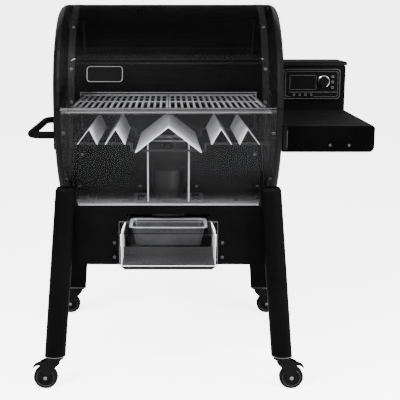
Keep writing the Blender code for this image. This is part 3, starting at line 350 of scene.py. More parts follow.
def drawer_steel():
    """Drawer: side walls painted bright as lit, a dull floor, and the rear wall painted dark as
    shade.
    """
    paint = brushed("drawer_steel", 0.022, 0.032, (1.0, 0.05, 1.0), 0.4, 0.6, 0.1)
    low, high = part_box("drawer_body")
    middle = (low.x + high.x) / 2
    half = high.x - middle
    # Painted light on the side walls.
    lit_sides = paint.fade(paint.away("X", middle), half - 0.0021, half - 0.0017)
    partly(paint, lit_sides, grey(0.85))
    # Painted shade on the rear wall.
    rear = paint.fade(paint.axis("Y"), high.y - 0.0045, high.y - 0.0035)
    return partly(paint, rear, grey(0.006))


def pan_foil():
    """Drip pan: bright rim, walls darkened by grease and painted shade."""
    paint = brushed("pressed_foil", 0.055, 0.095, (0.6, 0.6, 0.6), 0.3, 0.5, 0.3)
    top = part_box("drip_pan")[1].z
    # Grease and painted shade darken the foil below; the rim is left bright.
    rim = paint.fade(paint.axis("Z"), top - 0.0050, top - 0.0030)
    return partly(paint, rim, grey(0.70))


def knob_finish():
    """Knob: black cap inside a chrome ring."""
    paint = Paint("knob_finish", specular=0.06)
    low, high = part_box("knob")
    middle = (low + high) / 2
    edge = high.z - middle.z
    ring = paint.fade(paint.off_centre(middle), edge - 0.0032, edge - 0.0026)
    turned = paint.grey_ramp(paint.noise(90.0, 3.0), [(0.3, 0.0006), (0.7, 0.0015)])
    paint.colour(paint.mix(ring, turned, grey(0.70)))
    paint.link(ring, paint.shader.inputs["Metallic"])
    paint.rough(paint.fade(ring, 0.0, 1.0, 0.35, 0.18))
    paint.bump(paint.noise(300.0, 2.0), 0.1, 0.0001)
    return paint


def button_finish(number):
    """Button: black with a light moulded edge."""
    paint = Paint(f"button_finish_{number}", specular=0.08)
    low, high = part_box(f"button_{number}")
    middle = (low + high) / 2
    edge = high.z - middle.z
    ring = paint.fade(paint.off_centre(middle), edge - 0.0018, edge - 0.0012)
    face = paint.grey_ramp(paint.noise(120.0, 3.0), [(0.3, 0.003), (0.7, 0.007)])
    paint.colour(paint.mix(ring, face, grey(0.09)))
    paint.rough(paint.grey_ramp(paint.noise(60.0), [(0.3, 0.35), (0.7, 0.5)]))
    return paint


def panel_powder():
    """Front panel: drawn see-through over the drawer, in a window that narrows upwards."""
    paint = powder("panel_powder_coat", 0.0005, 0.0013, 0.02)
    low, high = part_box("drawer_body")
    middle = (low.x + high.x) / 2
    pan_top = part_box("drip_pan")[1].z
    start, end = pan_top + 0.006, pan_top + 0.068
    half_at_top = 0.1300
    share_cleared = 0.86
    height = paint.axis("Z")
    half = paint.fade(height, start, end, high.x - middle, half_at_top)
    across = paint.fade(paint.math("SUBTRACT", half, paint.away("X", middle)), 0.0, 0.0015)
    above = paint.fade(height, start - 0.001, start)
    below = paint.fade(height, end, end + 0.002, 1.0, 0.0)
    window = paint.math("MULTIPLY", across, paint.math("MULTIPLY", above, below))
    paint.see_through(paint.math("SUBTRACT", 1.0, paint.math("MULTIPLY", window, share_cleared)))
    return paint


def drawer_front_enamel():
    """Drawer front: drawn see-through, black along its lower edge."""
    paint = enamel("smoked_drawer", 0.0015, 0.0030, 0.40, 0.60)
    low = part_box("drawer_front")[0].z
    paint.see_through(paint.fade(paint.axis("Z"), low + 0.0105, low + 0.0115, 1.0, 0.10))
    return paint


BLACK = enamel("black_enamel", 0.0006, 0.0016).material
CAP = cap_enamel().material
COOKBOX = floor_enamel().material
SMOKE_LID = enamel("smoked_lid", 0.0008, 0.0020, 0.30, 0.50, 0.14, 0.06).material
SMOKE_BOX = smoked_cookbox().material
SMOKE_COLUMN = enamel("smoked_column", 0.0020, 0.0040, 0.30, 0.50, 0.12, 0.06).material
SMOKE_TUBE = enamel("smoked_handle", 0.0020, 0.0045, 0.16, 0.30, 0.30, 0.5).material
SMOKE_DRAWER = drawer_front_enamel().material
PANEL = panel_powder().material
POWDER = powder("black_powder_coat", 0.0005, 0.0012, 0.02).material
SHELF = powder("shelf_powder_coat", 0.0012, 0.0022, 0.05).material
STEEL = grate_steel().material
BAFFLE = brushed("baffle_sheet", 0.88, 0.96, (1.0, 0.04, 1.0), 0.4, 0.6, 0.15).material
FRAME_STEEL = frame_steel().material
RACK_STEEL = powder("rack_wire", 0.0040, 0.0080, 0.08).material
COLUMN = column_steel().material
SHEET_STEEL = brushed("sheet_steel", 0.12, 0.20, (0.3, 0.05, 0.3), 0.35, 0.55).material
DRAWER = drawer_steel().material
DARK_STEEL = brushed("dark_steel", 0.015, 0.035, (1.0, 1.0, 0.1), 0.38, 0.58).material
FOIL = pan_foil().material
CHROME = brushed("chrome", 0.60, 0.75, (0.5, 0.5, 0.5), 0.12, 0.22, 0.8).material
PLASTIC = powder("control_plastic", 0.0005, 0.0012, 0.03).material
GLASS = enamel("display_window", 0.0010, 0.0020, 0.05, 0.12, None, 0.12).material
RUBBER = rubber("wheel_rubber").material
# Grey for trim, and painted edge highlights on bevels.
TRIM_AND_EDGE_HIGHLIGHT = brushed("trim_and_edge_highlight", 0.055, 0.090, (0.2, 0.2, 0.2), 0.45, 0.60, 0.1).material
SCREW = brushed("screw_steel", 0.008, 0.016, (0.3, 0.3, 0.3), 0.40, 0.55, 0.3).material
FORK = powder("fork_powder_coat", 0.0010, 0.0022, 0.05).material
# Painted bright edge highlights.
BRIGHT_EDGE_HIGHLIGHT = brushed("bright_edge_highlight", 0.50, 0.72, (0.2, 0.2, 0.2), 0.30, 0.45, 0.3).material

NODE_PAINT = {
    "lid_front": SMOKE_LID,
    "cookbox_front": SMOKE_BOX,
    "cookbox_back": COOKBOX,
    "lid_handle": SMOKE_TUBE,
    "drawer_front": SMOKE_DRAWER,
    "fire_column_front": SMOKE_COLUMN,
    "lid_back": BLACK,
    "hopper_lid": SHELF,
    "warming_rack": RACK_STEEL,
    "heat_baffle": BAFFLE,
    "grate_frame": FRAME_STEEL,
    "fire_column": COLUMN,
    "auger_tube": SHEET_STEEL,
    "badge": enamel("badge_enamel", 0.0006, 0.0016, 0.45, 0.60, None, 0.02).material,
    "drawer_body": DRAWER,
    "drip_pan": FOIL,
    "side_table": shelf_powder().material,
    "display": GLASS,
    "knob": knob_finish().material,
    "probe_ports": PLASTIC,
    "control_housing": PLASTIC,
    "front_panel": PANEL,
}
FAMILY_PAINT = (
    (("lid_cap", "cookbox_cap"), CAP),
    (("drip_bar",), BAFFLE),
    (("grate_",), STEEL),
    (("wheel",), RUBBER),
    (("fork_", "brake_"), FORK),
    (("leg_", "rear_panel", "side_panel", "hopper_body", "cart_handle"), POWDER),
)


def node_paint(name):
    if name in NODE_PAINT:
        return NODE_PAINT[name]
    if name.startswith("button"):
        return button_finish(name[-1]).material
    for starts, material in FAMILY_PAINT:
        if name.startswith(starts):
            return material
    return DARK_STEEL


# Bevel width per node, with the material that paints an edge highlight on it, or None for none.
BEVELS = {
    "heat_baffle": (0.0005, BRIGHT_EDGE_HIGHLIGHT),
    "grate_left": (0.0006, None),
    "grate_right": (0.0006, None),
    "side_table": (0.0006, TRIM_AND_EDGE_HIGHLIGHT),
    "hopper_body": (0.0005, TRIM_AND_EDGE_HIGHLIGHT),
    "hopper_lid": (0.0006, TRIM_AND_EDGE_HIGHLIGHT),
    "front_panel": (0.0005, TRIM_AND_EDGE_HIGHLIGHT),
    "rear_panel": (0.0005, TRIM_AND_EDGE_HIGHLIGHT),
    "lid_cap_left": (0.0005, TRIM_AND_EDGE_HIGHLIGHT),
    "lid_cap_right": (0.0005, TRIM_AND_EDGE_HIGHLIGHT),
    "cookbox_cap_left": (0.0005, TRIM_AND_EDGE_HIGHLIGHT),
    "cookbox_cap_right": (0.0005, TRIM_AND_EDGE_HIGHLIGHT),
    "drawer_body": (0.0004, BRIGHT_EDGE_HIGHLIGHT),
    "fire_column": (0.0004, BRIGHT_EDGE_HIGHLIGHT),
    "lid_front": (0.0005, TRIM_AND_EDGE_HIGHLIGHT),
    "cookbox_front": (0.0005, TRIM_AND_EDGE_HIGHLIGHT),
    "drip_bar_1": (0.0005, BRIGHT_EDGE_HIGHLIGHT),
    "drip_bar_2": (0.0005, BRIGHT_EDGE_HIGHLIGHT),
    "drip_bar_3": (0.0005, BRIGHT_EDGE_HIGHLIGHT),
    "drip_bar_4": (0.0005, BRIGHT_EDGE_HIGHLIGHT),
}


def dress(name):
    """Give a CAD node its material, and for the nodes in BEVELS a fine bevel, most with a lighter
    material on the bevel as a painted edge highlight.
    """
    obj = NODES[name]
    obj.data.materials.clear()
    obj.data.materials.append(node_paint(name))
    if name not in BEVELS:
        return
    width, edge = BEVELS[name]
    modifier = obj.modifiers.new("fine_edges", "BEVEL")
    modifier.width = width
    modifier.segments = 1 if edge else 2
    modifier.limit_method = "ANGLE"
    modifier.angle_limit = math.radians(50)
    if edge:
        obj.data.materials.append(edge)
        modifier.material = 1


for node_name in NODES:
    dress(node_name)


# Mesh builders


def loft(bm, rings, closed=False):
    """Skin rings of equal length in order, capped at both ends or joined into a loop."""
    rows = [[bm.verts.new(point) for point in ring] for ring in rings]
    pairs = list(zip(rows, rows[1:]))
    if closed:
        pairs.append((rows[-1], rows[0]))
    for low, high in pairs:
        for a, b, c, d in zip(low, high, high[1:] + high[:1], low[1:] + low[:1]):
            bm.faces.new((a, b, c, d))
    if not closed:
        bm.faces.new(list(reversed(rows[0])))
        bm.faces.new(rows[-1])


def square_to(direction):
    helper = Vector((1, 0, 0)) if abs(direction.x) < 0.7 else Vector((0, 0, 1))
    side = direction.cross(helper).normalized()
    return side, direction.cross(side).normalized()


def disc_ring(centre, side, up, radius, count, dent=0.0):
    """Circle of points, pressed in to a hexagon by a share of its radius."""
    ring = []
    for i in range(count):
        angle = 2 * math.pi * i / count
        reach = radius * (1 - dent * math.sin(3 * angle) ** 2)
        ring.append(centre + side * math.cos(angle) * reach + up * math.sin(angle) * reach)
    return ring


def add_turned(bm, centre, direction, profile, count=24):
    """Turned solid from (radius, distance, hexagon share) steps along a direction."""
    direction = direction.normalized()
    side, up = square_to(direction)
    rings = []
    for radius, along, dent in profile:
        rings.append(disc_ring(centre + direction * along, side, up, radius, count, dent))
    loft(bm, rings)


def add_screw(bm, centre, normal, radius=0.0052):
    """Button-head screw with a hexagon socket, its shank just under the surface."""
    rise = radius * 0.42
    profile = [
        (radius * 0.55, -0.0012, 0.0),
        (radius * 0.98, -0.0002, 0.0),
        (radius, rise * 0.30, 0.0),
        (radius * 0.90, rise * 0.70, 0.0),
        (radius * 0.68, rise * 0.95, 0.0),
        (radius * 0.52, rise, 0.0),
        (radius * 0.46, rise * 0.92, 0.13),
        (radius * 0.44, rise * 0.25, 0.13),
    ]
    add_turned(bm, centre, normal, profile)


def add_tube(bm, path, radius, count=10, closed=False):
    """Round bar along a path, which may close on itself."""
    rings = []
    total = len(path)
    side = None
    for i, middle in enumerate(path):
        before = path[(i - 1) % total] if closed or i else path[0]
        after = path[(i + 1) % total] if closed or i < total - 1 else path[-1]
        ahead = (after - before).normalized()
        if side is None:
            side, up = square_to(ahead)
        side = (side - ahead * side.dot(ahead)).normalized()
        up = ahead.cross(side)
        rings.append(disc_ring(middle, side, up, radius, count))
    loft(bm, rings, closed)


def straight(start, end, steps):
    """Evenly spaced points from one place to another."""
    ends = list(zip(start, end))
    return [Vector([a + (b - a) * i / steps for a, b in ends]) for i in range(steps + 1)]


def across_barrel(reach, y, z):
    """Points along the barrel, as far to either side of its middle."""
    return straight((BARREL_X - reach, y, z), (BARREL_X + reach, y, z), 24)


def add_rim(bm, outline, y, radius, count=8):
    """Round bar along a closed (x, z) outline at one depth."""
    add_tube(bm, [Vector((x, y, z)) for x, z in outline], radius, count, True)


def rounded(x_range, z_range, radius, steps=6):
    """Outline of a rectangle with round corners, as (x, z) pairs."""
    (x0, x1), (z0, z1) = x_range, z_range
    corners = (
        (x1, z1, 0, -1, -1),
        (x0, z1, 90, 1, -1),
        (x0, z0, 180, 1, 1),
        (x1, z0, 270, -1, 1),
    )
    points = []
    for x, z, first, sx, sz in corners:
        for i in range(steps + 1):
            angle = math.radians(first + 90 * i / steps)
            right, up = sx + math.cos(angle), sz + math.sin(angle)
            points.append((x + radius * right, z + radius * up))
    return points


def rounded_inside(low, high, inset, radius):
    """Round-cornered outline a little inside a box's front face."""
    x_range = (low.x + inset, high.x - inset)
    return rounded(x_range, (low.z + inset, high.z - inset), radius)


def add_slab(bm, outline, y0, y1, round_off=0.0006):
    """Plate from an (x, z) outline between two depths, its edge at the first one eased."""
    cx = sum(x for x, z in outline) / len(outline)
    cz = sum(z for x, z in outline) / len(outline)
    rings = []
    for y, inset in ((y0, round_off), (y0 + round_off, 0.0), (y1, 0.0)):
        ring = []
        for x, z in outline:
            out = Vector((x - cx, 0.0, z - cz))
            ring.append(Vector((x, y, z)) - out.normalized() * inset)
        rings.append(ring)
    loft(bm, rings)


def piece(name, bm, material, body):
    """Finish a mesh as a named piece that rides on a body."""
    bmesh.ops.recalc_face_normals(bm, faces=bm.faces)
    mesh = bpy.data.meshes.new(name)
    bm.to_mesh(mesh)
    bm.free()
    mesh.shade_smooth()
    mesh.set_sharp_from_angle(angle=math.radians(40))
    mesh.materials.append(material)
    obj = bpy.data.objects.new(name, mesh)
    bpy.context.scene.collection.objects.link(obj)
    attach(obj, body)
    return obj


# Screws. Z is the height from the floor, OUT the distance to either side of the middle.

LID_SCREW_Z = (1.1210, 0.9994, 0.9025)
LID_SCREW_OUT = 0.2895
LID_REAR_LOWEST_DEG = 32.0
BOX_SCREW_Z = (0.8081, 0.6575)
BOX_SCREW_OUT = 0.3165
SKIN_SCREWS = ((0.263, 0.741), (0.280, 0.630), (0.089, 0.630))
FRONT_PANEL_SCREW_Z = (0.456, 0.409)
FRONT_PANEL_SCREW_OUT = 0.170
REAR_PANEL_SCREW_Z = (0.560, 0.485, 0.410)
REAR_PANEL_SCREW_OUT = 0.255
SIDE_PANEL_SCREW_Z = (0.480, 0.560)
HOPPER_TOP_ROW_Z = 0.940
HOPPER_LOW_ROW_Z = 0.765
HOPPER_SIDE_LOW_Z = 0.785
SHEET_SCREW = 0.0046
HANDLE_SCREW = 0.0045
HOPPER_SCREW = 0.0042

FRONTWARD = Vector((0, -1, 0))
REARWARD = Vector((0, 1, 0))
RIGHTWARD = Vector((1, 0, 0))
UPWARD = Vector((0, 0, 1))


def lid_screws():
    """Screws down the lid's laps, those at the back kept above the hinge."""
    bm = bmesh.new()
    for side in (-1, 1):
        for z in LID_SCREW_Z:
            angle = front_angle(z)
            rear_angle = max(180.0 - angle, LID_REAR_LOWEST_DEG)
            add_screw(bm, *on_barrel(side * LID_SCREW_OUT, angle))
            add_screw(bm, *on_barrel(side * LID_SCREW_OUT, rear_angle))
    piece("lid_screws", bm, SCREW, "lid")


def cookbox_screws():
    """Screws on the cookbox, each repeated at the same height at the back."""
    bm = bmesh.new()
    for side in (-1, 1):
        for z in BOX_SCREW_Z:
            angle = front_angle(z)
            add_screw(bm, *on_barrel(side * BOX_SCREW_OUT, angle))
            add_screw(bm, *on_barrel(side * BOX_SCREW_OUT, 540.0 - angle))
        for x, z in SKIN_SCREWS:
            angle = front_angle(z)
            add_screw(bm, *on_barrel(side * x, angle), SHEET_SCREW)
            add_screw(bm, *on_barrel(side * x, 540.0 - angle), SHEET_SCREW)
    piece("cookbox_screws", bm, SCREW, "cart")


def panel_screws():
    bm = bmesh.new()
    low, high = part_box("front_panel")
    middle = (low.x + high.x) / 2
    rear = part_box("rear_panel")[1].y
    for side in (-1, 1):
        for z in FRONT_PANEL_SCREW_Z:
            x = middle + side * FRONT_PANEL_SCREW_OUT
            add_screw(bm, Vector((x, low.y, z)), FRONTWARD)
    for side in (-1, 1):
        for z in REAR_PANEL_SCREW_Z:
            x = middle + side * REAR_PANEL_SCREW_OUT
            add_screw(bm, Vector((x, rear, z)), REARWARD)
    piece("panel_screws", bm, SCREW, "cart")


def side_screws():
    """Screws that hold the side cradles to the legs, and the cart handle's plates."""
    bm = bmesh.new()
    for word, side in SIDES:
        low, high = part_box(f"side_panel_{word}")
        x = low.x if side < 0 else high.x
        for y in (low.y + 0.085, high.y - 0.085):
            for z in SIDE_PANEL_SCREW_Z:
                add_screw(bm, Vector((x, y, z)), Vector((side, 0, 0)))
    low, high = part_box("cart_handle")
    for y in (low.y + 0.018, high.y - 0.018):
        for z in (low.z + 0.011, high.z - 0.011):
            add_screw(bm, Vector((high.x - 0.004, y, z)), -RIGHTWARD, HANDLE_SCREW)
    piece("side_screws", bm, SCREW, "cart")


def shelf_screws():
    bm = bmesh.new()
    low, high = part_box("side_table")
    for x in (high.x - 0.140, high.x - 0.080):
        add_screw(bm, Vector((x, low.y, low.z + 0.022)), FRONTWARD, SHEET_SCREW)
    for y in (low.y + 0.070, high.y - 0.070):
        add_screw(bm, Vector((high.x, y, low.z + 0.045)), RIGHTWARD, SHEET_SCREW)
    piece("shelf_screws", bm, SCREW, "cart")


def hopper_screws():
    bm = bmesh.new()
    low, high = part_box("hopper_body")
    for i in range(5):
        x = low.x + 0.030 + i * (high.x - low.x - 0.060) / 4
        add_screw(bm, Vector((x, HOPPER_REAR, HOPPER_TOP_ROW_Z)), REARWARD, HOPPER_SCREW)
        if i in (0, 2, 4):
            add_screw(bm, Vector((x, HOPPER_REAR, HOPPER_LOW_ROW_Z)), REARWARD, HOPPER_SCREW)
    for y in (low.y + 0.040, HOPPER_REAR - 0.040):
        for z in (HOPPER_SIDE_LOW_Z, HOPPER_TOP_ROW_Z):
            add_screw(bm, Vector((high.x, y, z)), RIGHTWARD, HOPPER_SCREW)
    piece("hopper_screws", bm, SCREW, "cart")


# Lid and cookbox trim


def skin_band(name, body, x_range, angles, material):
    """Thin band lying round the barrel, such as the lap over an end cap."""
    bm = bmesh.new()
    x0, x1 = x_range
    start, end = angles
    count = max(8, int(abs(end - start) / 3))
    rings = []
    for i in range(count + 1):
        angle = start + (end - start) * i / count
        section = ((x0, HAIR), (x1, HAIR), (x1 - 0.0005, 0.0010), (x0 + 0.0005, 0.0010))
        rings.append([on_barrel(x, angle, lift)[0] for x, lift in section])
    loft(bm, rings)
    return piece(name, bm, material, body)


def bands():
    """Laps where the skins are screwed over the end caps, on lid and cookbox."""
    lap = enamel("lap_enamel", 0.004, 0.007, 0.35, 0.50, 0.30).material
    lid_end = front_angle(LID_LOW.z + 0.001)
    box_start = front_angle(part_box("cookbox_front")[1].z - 0.001)
    for word, side in SIDES:
        x_range = sorted((side * 0.2795, side * 0.3000))
        skin_band(f"lid_lap_{word}", "lid", x_range, (lid_end, 30.0), lap)
        x_range = sorted((side * 0.3080, side * 0.3235))
        skin_band(f"cookbox_lap_{word}", "cart", x_range, (box_start, SEAM_DEG + 2), lap)


def rear_laps():
    """Strips over the butt joints between skins and end caps, round the back."""
    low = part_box("lid_back")[0].z
    lid_angle = math.degrees(math.asin((low + 0.002 - BARREL_Z) / HALF_RISE))
    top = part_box("cookbox_back")[1].z
    box_angle = math.degrees(math.asin((top - 0.002 - BARREL_Z) / HALF_RISE))
    for word, side in SIDES:
        x_range = sorted((side * (SKIN_X - 0.005), side * (SKIN_X + 0.006)))
        skin_band(f"lid_rear_lap_{word}", "lid", x_range, (86.0, lid_angle), BLACK)
        skin_band(f"cookbox_rear_lap_{word}", "cart", x_range, (box_angle, -96.0), BLACK)


def lid_gasket():
    """Gasket on the cookbox that closes its line with the lid, on both caps and the back."""
    pin_low, pin_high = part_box("lid_hinge_pin")
    pivot = (pin_low + pin_high) / 2
    front = Vector((0.0, BARREL_Y - HALF_DEPTH, LID_LOW.z - 0.0015))
    along = Vector((0.0, pivot.y - front.y, pivot.z - front.z)).normalized()
    square = Vector((0.0, -along.z, along.y)) * 0.00135
    length = math.hypot(pivot.y - front.y, pivot.z - front.z)
    bm = bmesh.new()
    plan = ((0.0020, 0.0030), (0.0133, 0.0090), (0.0200, 0.0180))
    for side in (-1, 1):
        outline = [(out, start) for out, start in plan]
        outline += [(out, length - 0.0130 - start) for out, start in reversed(plan)]
        rings = []
        for lift in (-1, 1):
            ring = []
            for out, reach in outline:
                x = BARREL_X + side * (SKIN_X + out)
                ring.append(Vector((x, front.y, front.z)) + along * reach + square * lift)
            rings.append(ring)
        loft(bm, rings)
    y = barrel(math.degrees(math.asin((pivot.z - BARREL_Z) / HALF_RISE)))[0] - 0.0060
    add_tube(bm, across_barrel(SKIN_X - 0.002, y, pivot.z + 0.0014), 0.0042, 12)
    piece("lid_gasket", bm, RUBBER, "cart")


def cookbox_hem():
    """Rolled hem along the cookbox's bottom front, where the front skin ends, painted bright as
    the highlight along that edge.
    """
    bm = bmesh.new()
    y, z = barrel(SEAM_DEG, 0.0022)
    add_tube(bm, across_barrel(SKIN_X - 0.010, y, z), 0.0024, 12)
    piece("cookbox_hem", bm, BRIGHT_EDGE_HIGHLIGHT, "cart")


def skin_hems():
    """Rolled edges along the meeting line of lid and cookbox, in grey painted as an edge
    highlight.
    """
    for name, node, body, top in (
        ("lid_hem", "lid_front", "lid", False),
        ("cookbox_rim", "cookbox_front", "cart", True),
    ):
        bm = bmesh.new()
        low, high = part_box(node)
        angle = front_angle(high.z - 0.0022) if top else front_angle(low.z + 0.0022)
        y, z = barrel(angle, 0.0012)
        add_tube(bm, across_barrel(SKIN_X - 0.002, y, z), 0.0011, 8)
        piece(name, bm, TRIM_AND_EDGE_HIGHLIGHT, body)


def badge_rim():
    """Raised rim round the blank badge."""
    low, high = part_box("badge")
    bm = bmesh.new()
    lean = math.atan2(high.y - low.y, high.z - low.z)
    centre = (low + high) / 2
    half_z = (high.z - low.z) / 2 - 0.003
    lift = Vector((0.0, -math.cos(lean), math.sin(lean))) * 0.0016
    path = []
    for x, z in rounded((low.x + 0.003, high.x - 0.003), (-half_z, half_z), 0.009):
        path.append(Vector((x, centre.y + z * math.tan(lean), centre.z + z)) + lift)
    add_tube(bm, path, 0.0011, 8, True)
    piece("badge_rim", bm, TRIM_AND_EDGE_HIGHLIGHT, "lid")


def column_edges():
    """Folded edges down the fire column's front corners, painted bright as edge highlights."""
    low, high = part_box("fire_column_front")
    bm = bmesh.new()
    for x, inner in ((low.x, low.x + 0.0050), (high.x, high.x - 0.0050)):
        outline = [(x, low.z), (inner, low.z), (inner, high.z), (x, high.z)]
        add_slab(bm, outline, low.y - 0.0013, low.y - HAIR, 0.0004)
    piece("column_edges", bm, BRIGHT_EDGE_HIGHLIGHT, "cart")


# Controls


def control_bezel():
    """Two raised frames round the control face."""
    low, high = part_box("control_housing")
    frames = (("outer", 0.0025, 0.0016, 0.011), ("inner", 0.0100, 0.0011, 0.008))
    for name, inset, radius, corner in frames:
        bm = bmesh.new()
        add_rim(bm, rounded_inside(low, high, inset, corner), low.y - 0.0006, radius)
        piece(f"control_frame_{name}", bm, SCREW, "cart")


def control_details():
    """Frame round the screen, rings round the probe jacks and a moulded line over them."""
    low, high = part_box("display")
    bm = bmesh.new()
    add_rim(bm, rounded_inside(low, high, 0.001, 0.003), low.y - 0.0001, 0.0005, 6)
    piece("screen_frame", bm, TRIM_AND_EDGE_HIGHLIGHT, "cart")
    ports_low, ports_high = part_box("probe_ports")
    bm = bmesh.new()
    z = (ports_low.z + ports_high.z) / 2
    for i in range(4):
        x = ports_low.x + (ports_high.x - ports_low.x) * (i + 0.5) / 4
        centre = Vector((x, ports_low.y - HAIR, z))
        add_tube(bm, disc_ring(centre, RIGHTWARD, UPWARD, 0.0034, 20), 0.0008, 8, True)
    piece("jack_rings", bm, TRIM_AND_EDGE_HIGHLIGHT, "cart")
    low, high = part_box("control_housing")
    z = ports_high.z + 0.0018
    bm = bmesh.new()
    path = straight((low.x + 0.022, low.y, z), (high.x - 0.013, low.y, z), 12)
    add_tube(bm, path, 0.0006, 6)
    piece("control_line", bm, TRIM_AND_EDGE_HIGHLIGHT, "cart")


def inlet_socket():
    """Mains inlet in the recess at the back of the hopper: a shroud and three flat pins."""
    y = HOPPER_REAR + 0.003
    low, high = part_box("hopper_body")
    centre_x = (low.x + high.x) / 2 + 0.2745
    bm = bmesh.new()
    for across, z in ((-0.007, 0.803), (0.007, 0.803), (0.0, 0.8095)):
        x = centre_x + across
        outline = rounded((x - 0.0011, x + 0.0011), (z - 0.0018, z + 0.0018), 0.0005, 2)
        add_slab(bm, outline, y - 0.0040, y - 0.0010)
    piece("inlet_pins", bm, CHROME, "cart")
    bm = bmesh.new()
    outline = rounded((centre_x - 0.0172, centre_x + 0.0172), (0.7928, 0.8192), 0.003)
    add_rim(bm, outline, y, 0.0012)
    piece("inlet_rim", bm, PLASTIC, "cart")


# Shelf, drawer, legs and casters


def shelf_bracket():
    """Formed plate at the shelf's inner end, with a bright outer edge."""
    low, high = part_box("side_table")
    x0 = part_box("cookbox_cap_right")[1].x + 0.0135
    bm = bmesh.new()
    outline = rounded((x0, x0 + 0.0125), (low.z + 0.004, high.z - 0.002), 0.005)
    add_slab(bm, outline, low.y - 0.0030, low.y - HAIR)
    piece("shelf_bracket", bm, SHELF, "cart")
    bm = bmesh.new()
    x, y, z = x0 + 0.0122, low.y - 0.0030, low.z + 0.012
    add_tube(bm, straight((x, y, z), (x, y, z + 0.057), 12), 0.0006, 6)
    piece("shelf_bracket_edge", bm, TRIM_AND_EDGE_HIGHLIGHT, "cart")


def drawer_hem():
    """Folded hem round the drawer's front."""
    low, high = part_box("drawer_front")
    bm = bmesh.new()
    inset = 0.0012
    x0, x1, z0, z1 = low.x + inset, high.x - inset, low.z + inset, high.z - inset
    cut_x, cut_z = 0.0165, 0.0135
    bottom = [(x0, z0 + cut_z), (x0 + cut_x, z0), (x1 - cut_x, z0), (x1, z0 + cut_z)]
    add_rim(bm, bottom + [(x1, z1), (x0, z1)], low.y - 0.0002, 0.0008)
    piece("drawer_hem", bm, TRIM_AND_EDGE_HIGHLIGHT, "drawer")


def foot_rings():
    """Bright collar round the foot of each leg: a half round, closed straight behind."""
    for row, word in CORNERS:
        low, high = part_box(f"leg_{row}_{word}")
        x = low.x + 0.0325 if word == "left" else high.x - 0.0325
        y = low.y + 0.020 if row == "front" else high.y - 0.020
        z = low.z + 0.0012
        facing = -1 if row == "front" else 1
        path = []
        for i in range(25):
            angle = math.pi * i / 24
            reach = facing * (0.0248 * math.sin(angle) - 0.0048)
            path.append(Vector((x + 0.0320 * math.cos(angle), y + reach, z)))
        for side in (-1, 1):
            path.append(Vector((x + side * 0.0300, y - facing * 0.0195, z)))
        bm = bmesh.new()
        add_tube(bm, path, 0.0011, 8, True)
        piece(f"foot_ring_{row}_{word}", bm, TRIM_AND_EDGE_HIGHLIGHT, "cart")


FORK_OUT = 0.0157
AXLE_BOLT = [
    (0.0062, 0.0, 0.13),
    (0.0062, 0.0022, 0.13),
    (0.0052, 0.0030, 0.10),
    (0.0030, 0.0030, 0.0),
    (0.0024, 0.0042, 0.0),
    (0.0014, 0.0046, 0.0),
]
WHEEL_LINE_RADIUS = 0.0275


def caster_details():
    """Axle bolt head on each side of a fork, and a ring on each side of its wheel."""
    for row, word in CORNERS:
        low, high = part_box(f"wheel_{row}_{word}")
        hub = (low + high) / 2
        bm = bmesh.new()
        for side in (-1, 1):
            centre = Vector((hub.x, hub.y + side * FORK_OUT, hub.z))
            add_turned(bm, centre, side * REARWARD, AXLE_BOLT)
        piece(f"axle_bolt_{row}_{word}", bm, TRIM_AND_EDGE_HIGHLIGHT, f"caster_{row}_{word}")
        bm = bmesh.new()
        for side in (-1, 1):
            centre = Vector((hub.x, hub.y + side * (high.y - low.y) / 2, hub.z))
            ring = disc_ring(centre, RIGHTWARD, UPWARD, WHEEL_LINE_RADIUS, 48)
            add_tube(bm, ring, 0.0007, 6, True)
        piece(f"wheel_line_{row}_{word}", bm, SCREW, f"roller_{row}_{word}")


lid_screws()
cookbox_screws()
panel_screws()
side_screws()
shelf_screws()
hopper_screws()
bands()
rear_laps()
lid_gasket()
cookbox_hem()
skin_hems()
badge_rim()
column_edges()
control_bezel()
control_details()
inlet_socket()
shelf_bracket()
drawer_hem()
foot_rings()
caster_details()


# Camera, lights and floor

BACKDROP = 5.0
ROOM_LIGHT = 0.45
AIM = (0, 0, 0.6)


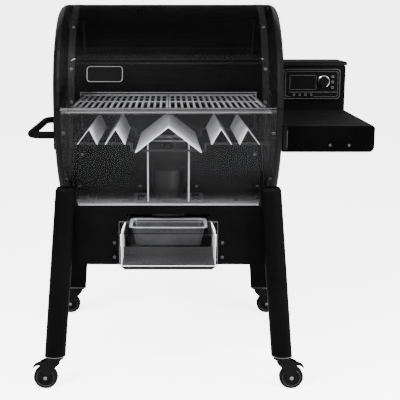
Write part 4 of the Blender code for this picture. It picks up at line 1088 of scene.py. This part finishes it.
def add_camera():
    data = bpy.data.cameras.new("camera")
    data.lens = 77.4
    data.sensor_width = 36.0
    data.shift_x = 0.079
    camera = bpy.data.objects.new("camera", data)
    camera.location = (BARREL_X, BARREL_Y - 2.865, BARREL_Z + 0.265)
    camera.rotation_euler = (math.radians(77.9), 0.0, 0.0)
    bpy.context.scene.collection.objects.link(camera)
    bpy.context.scene.camera = camera


def add_area(name, location, target, size, power):
    data = bpy.data.lights.new(name, "AREA")
    data.shape = "RECTANGLE"
    data.size, data.size_y = size
    data.energy = power
    light = bpy.data.objects.new(name, data)
    light.location = location
    aim = Vector(target) - Vector(location)
    light.rotation_euler = aim.to_track_quat("-Z", "Y").to_euler()
    bpy.context.scene.collection.objects.link(light)


def add_world(strength):
    """Even studio light, with a white backdrop where nothing stands."""
    world = bpy.data.worlds.new("studio")
    world.use_nodes = True
    nodes, links = world.node_tree.nodes, world.node_tree.links
    background = nodes["Background"]
    background.inputs["Color"].default_value = (1.0, 1.0, 1.0, 1.0)
    seen = nodes.new("ShaderNodeMapRange")
    seen.inputs["To Min"].default_value = strength
    seen.inputs["To Max"].default_value = BACKDROP
    links.new(nodes.new("ShaderNodeLightPath").outputs["Is Camera Ray"], seen.inputs["Value"])
    links.new(seen.outputs["Result"], background.inputs["Strength"])
    bpy.context.scene.world = world


def add_floor():
    mesh = bpy.data.meshes.new("floor")
    reach = 30.0
    corners = [(-reach, -reach, 0), (reach, -reach, 0), (reach, reach, 0), (-reach, reach, 0)]
    mesh.from_pydata(corners, [], [(0, 1, 2, 3)])
    floor = bpy.data.objects.new("floor", mesh)
    paint = Paint("pale_floor", roughness=0.9, specular=0.1)
    paint.colour(paint.grey_ramp(paint.noise(3.0, 3.0), [(0.3, 0.90), (0.7, 0.92)]))
    glow = paint.nodes.new("ShaderNodeLightPath").outputs["Is Camera Ray"]
    paint.set("Emission Color", (1.0, 1.0, 1.0, 1.0))
    shine = paint.math("MULTIPLY", glow, BACKDROP * 0.9)
    paint.link(shine, paint.shader.inputs["Emission Strength"])
    mesh.materials.append(paint.material)
    bpy.context.scene.collection.objects.link(floor)


add_camera()
add_world(ROOM_LIGHT)
add_area("key", (-1.6, -2.2, 2.8), AIM, (2.0, 2.0), 400)
add_area("fill", (2.2, -1.8, 1.8), AIM, (1.8, 1.8), 300)
add_floor()
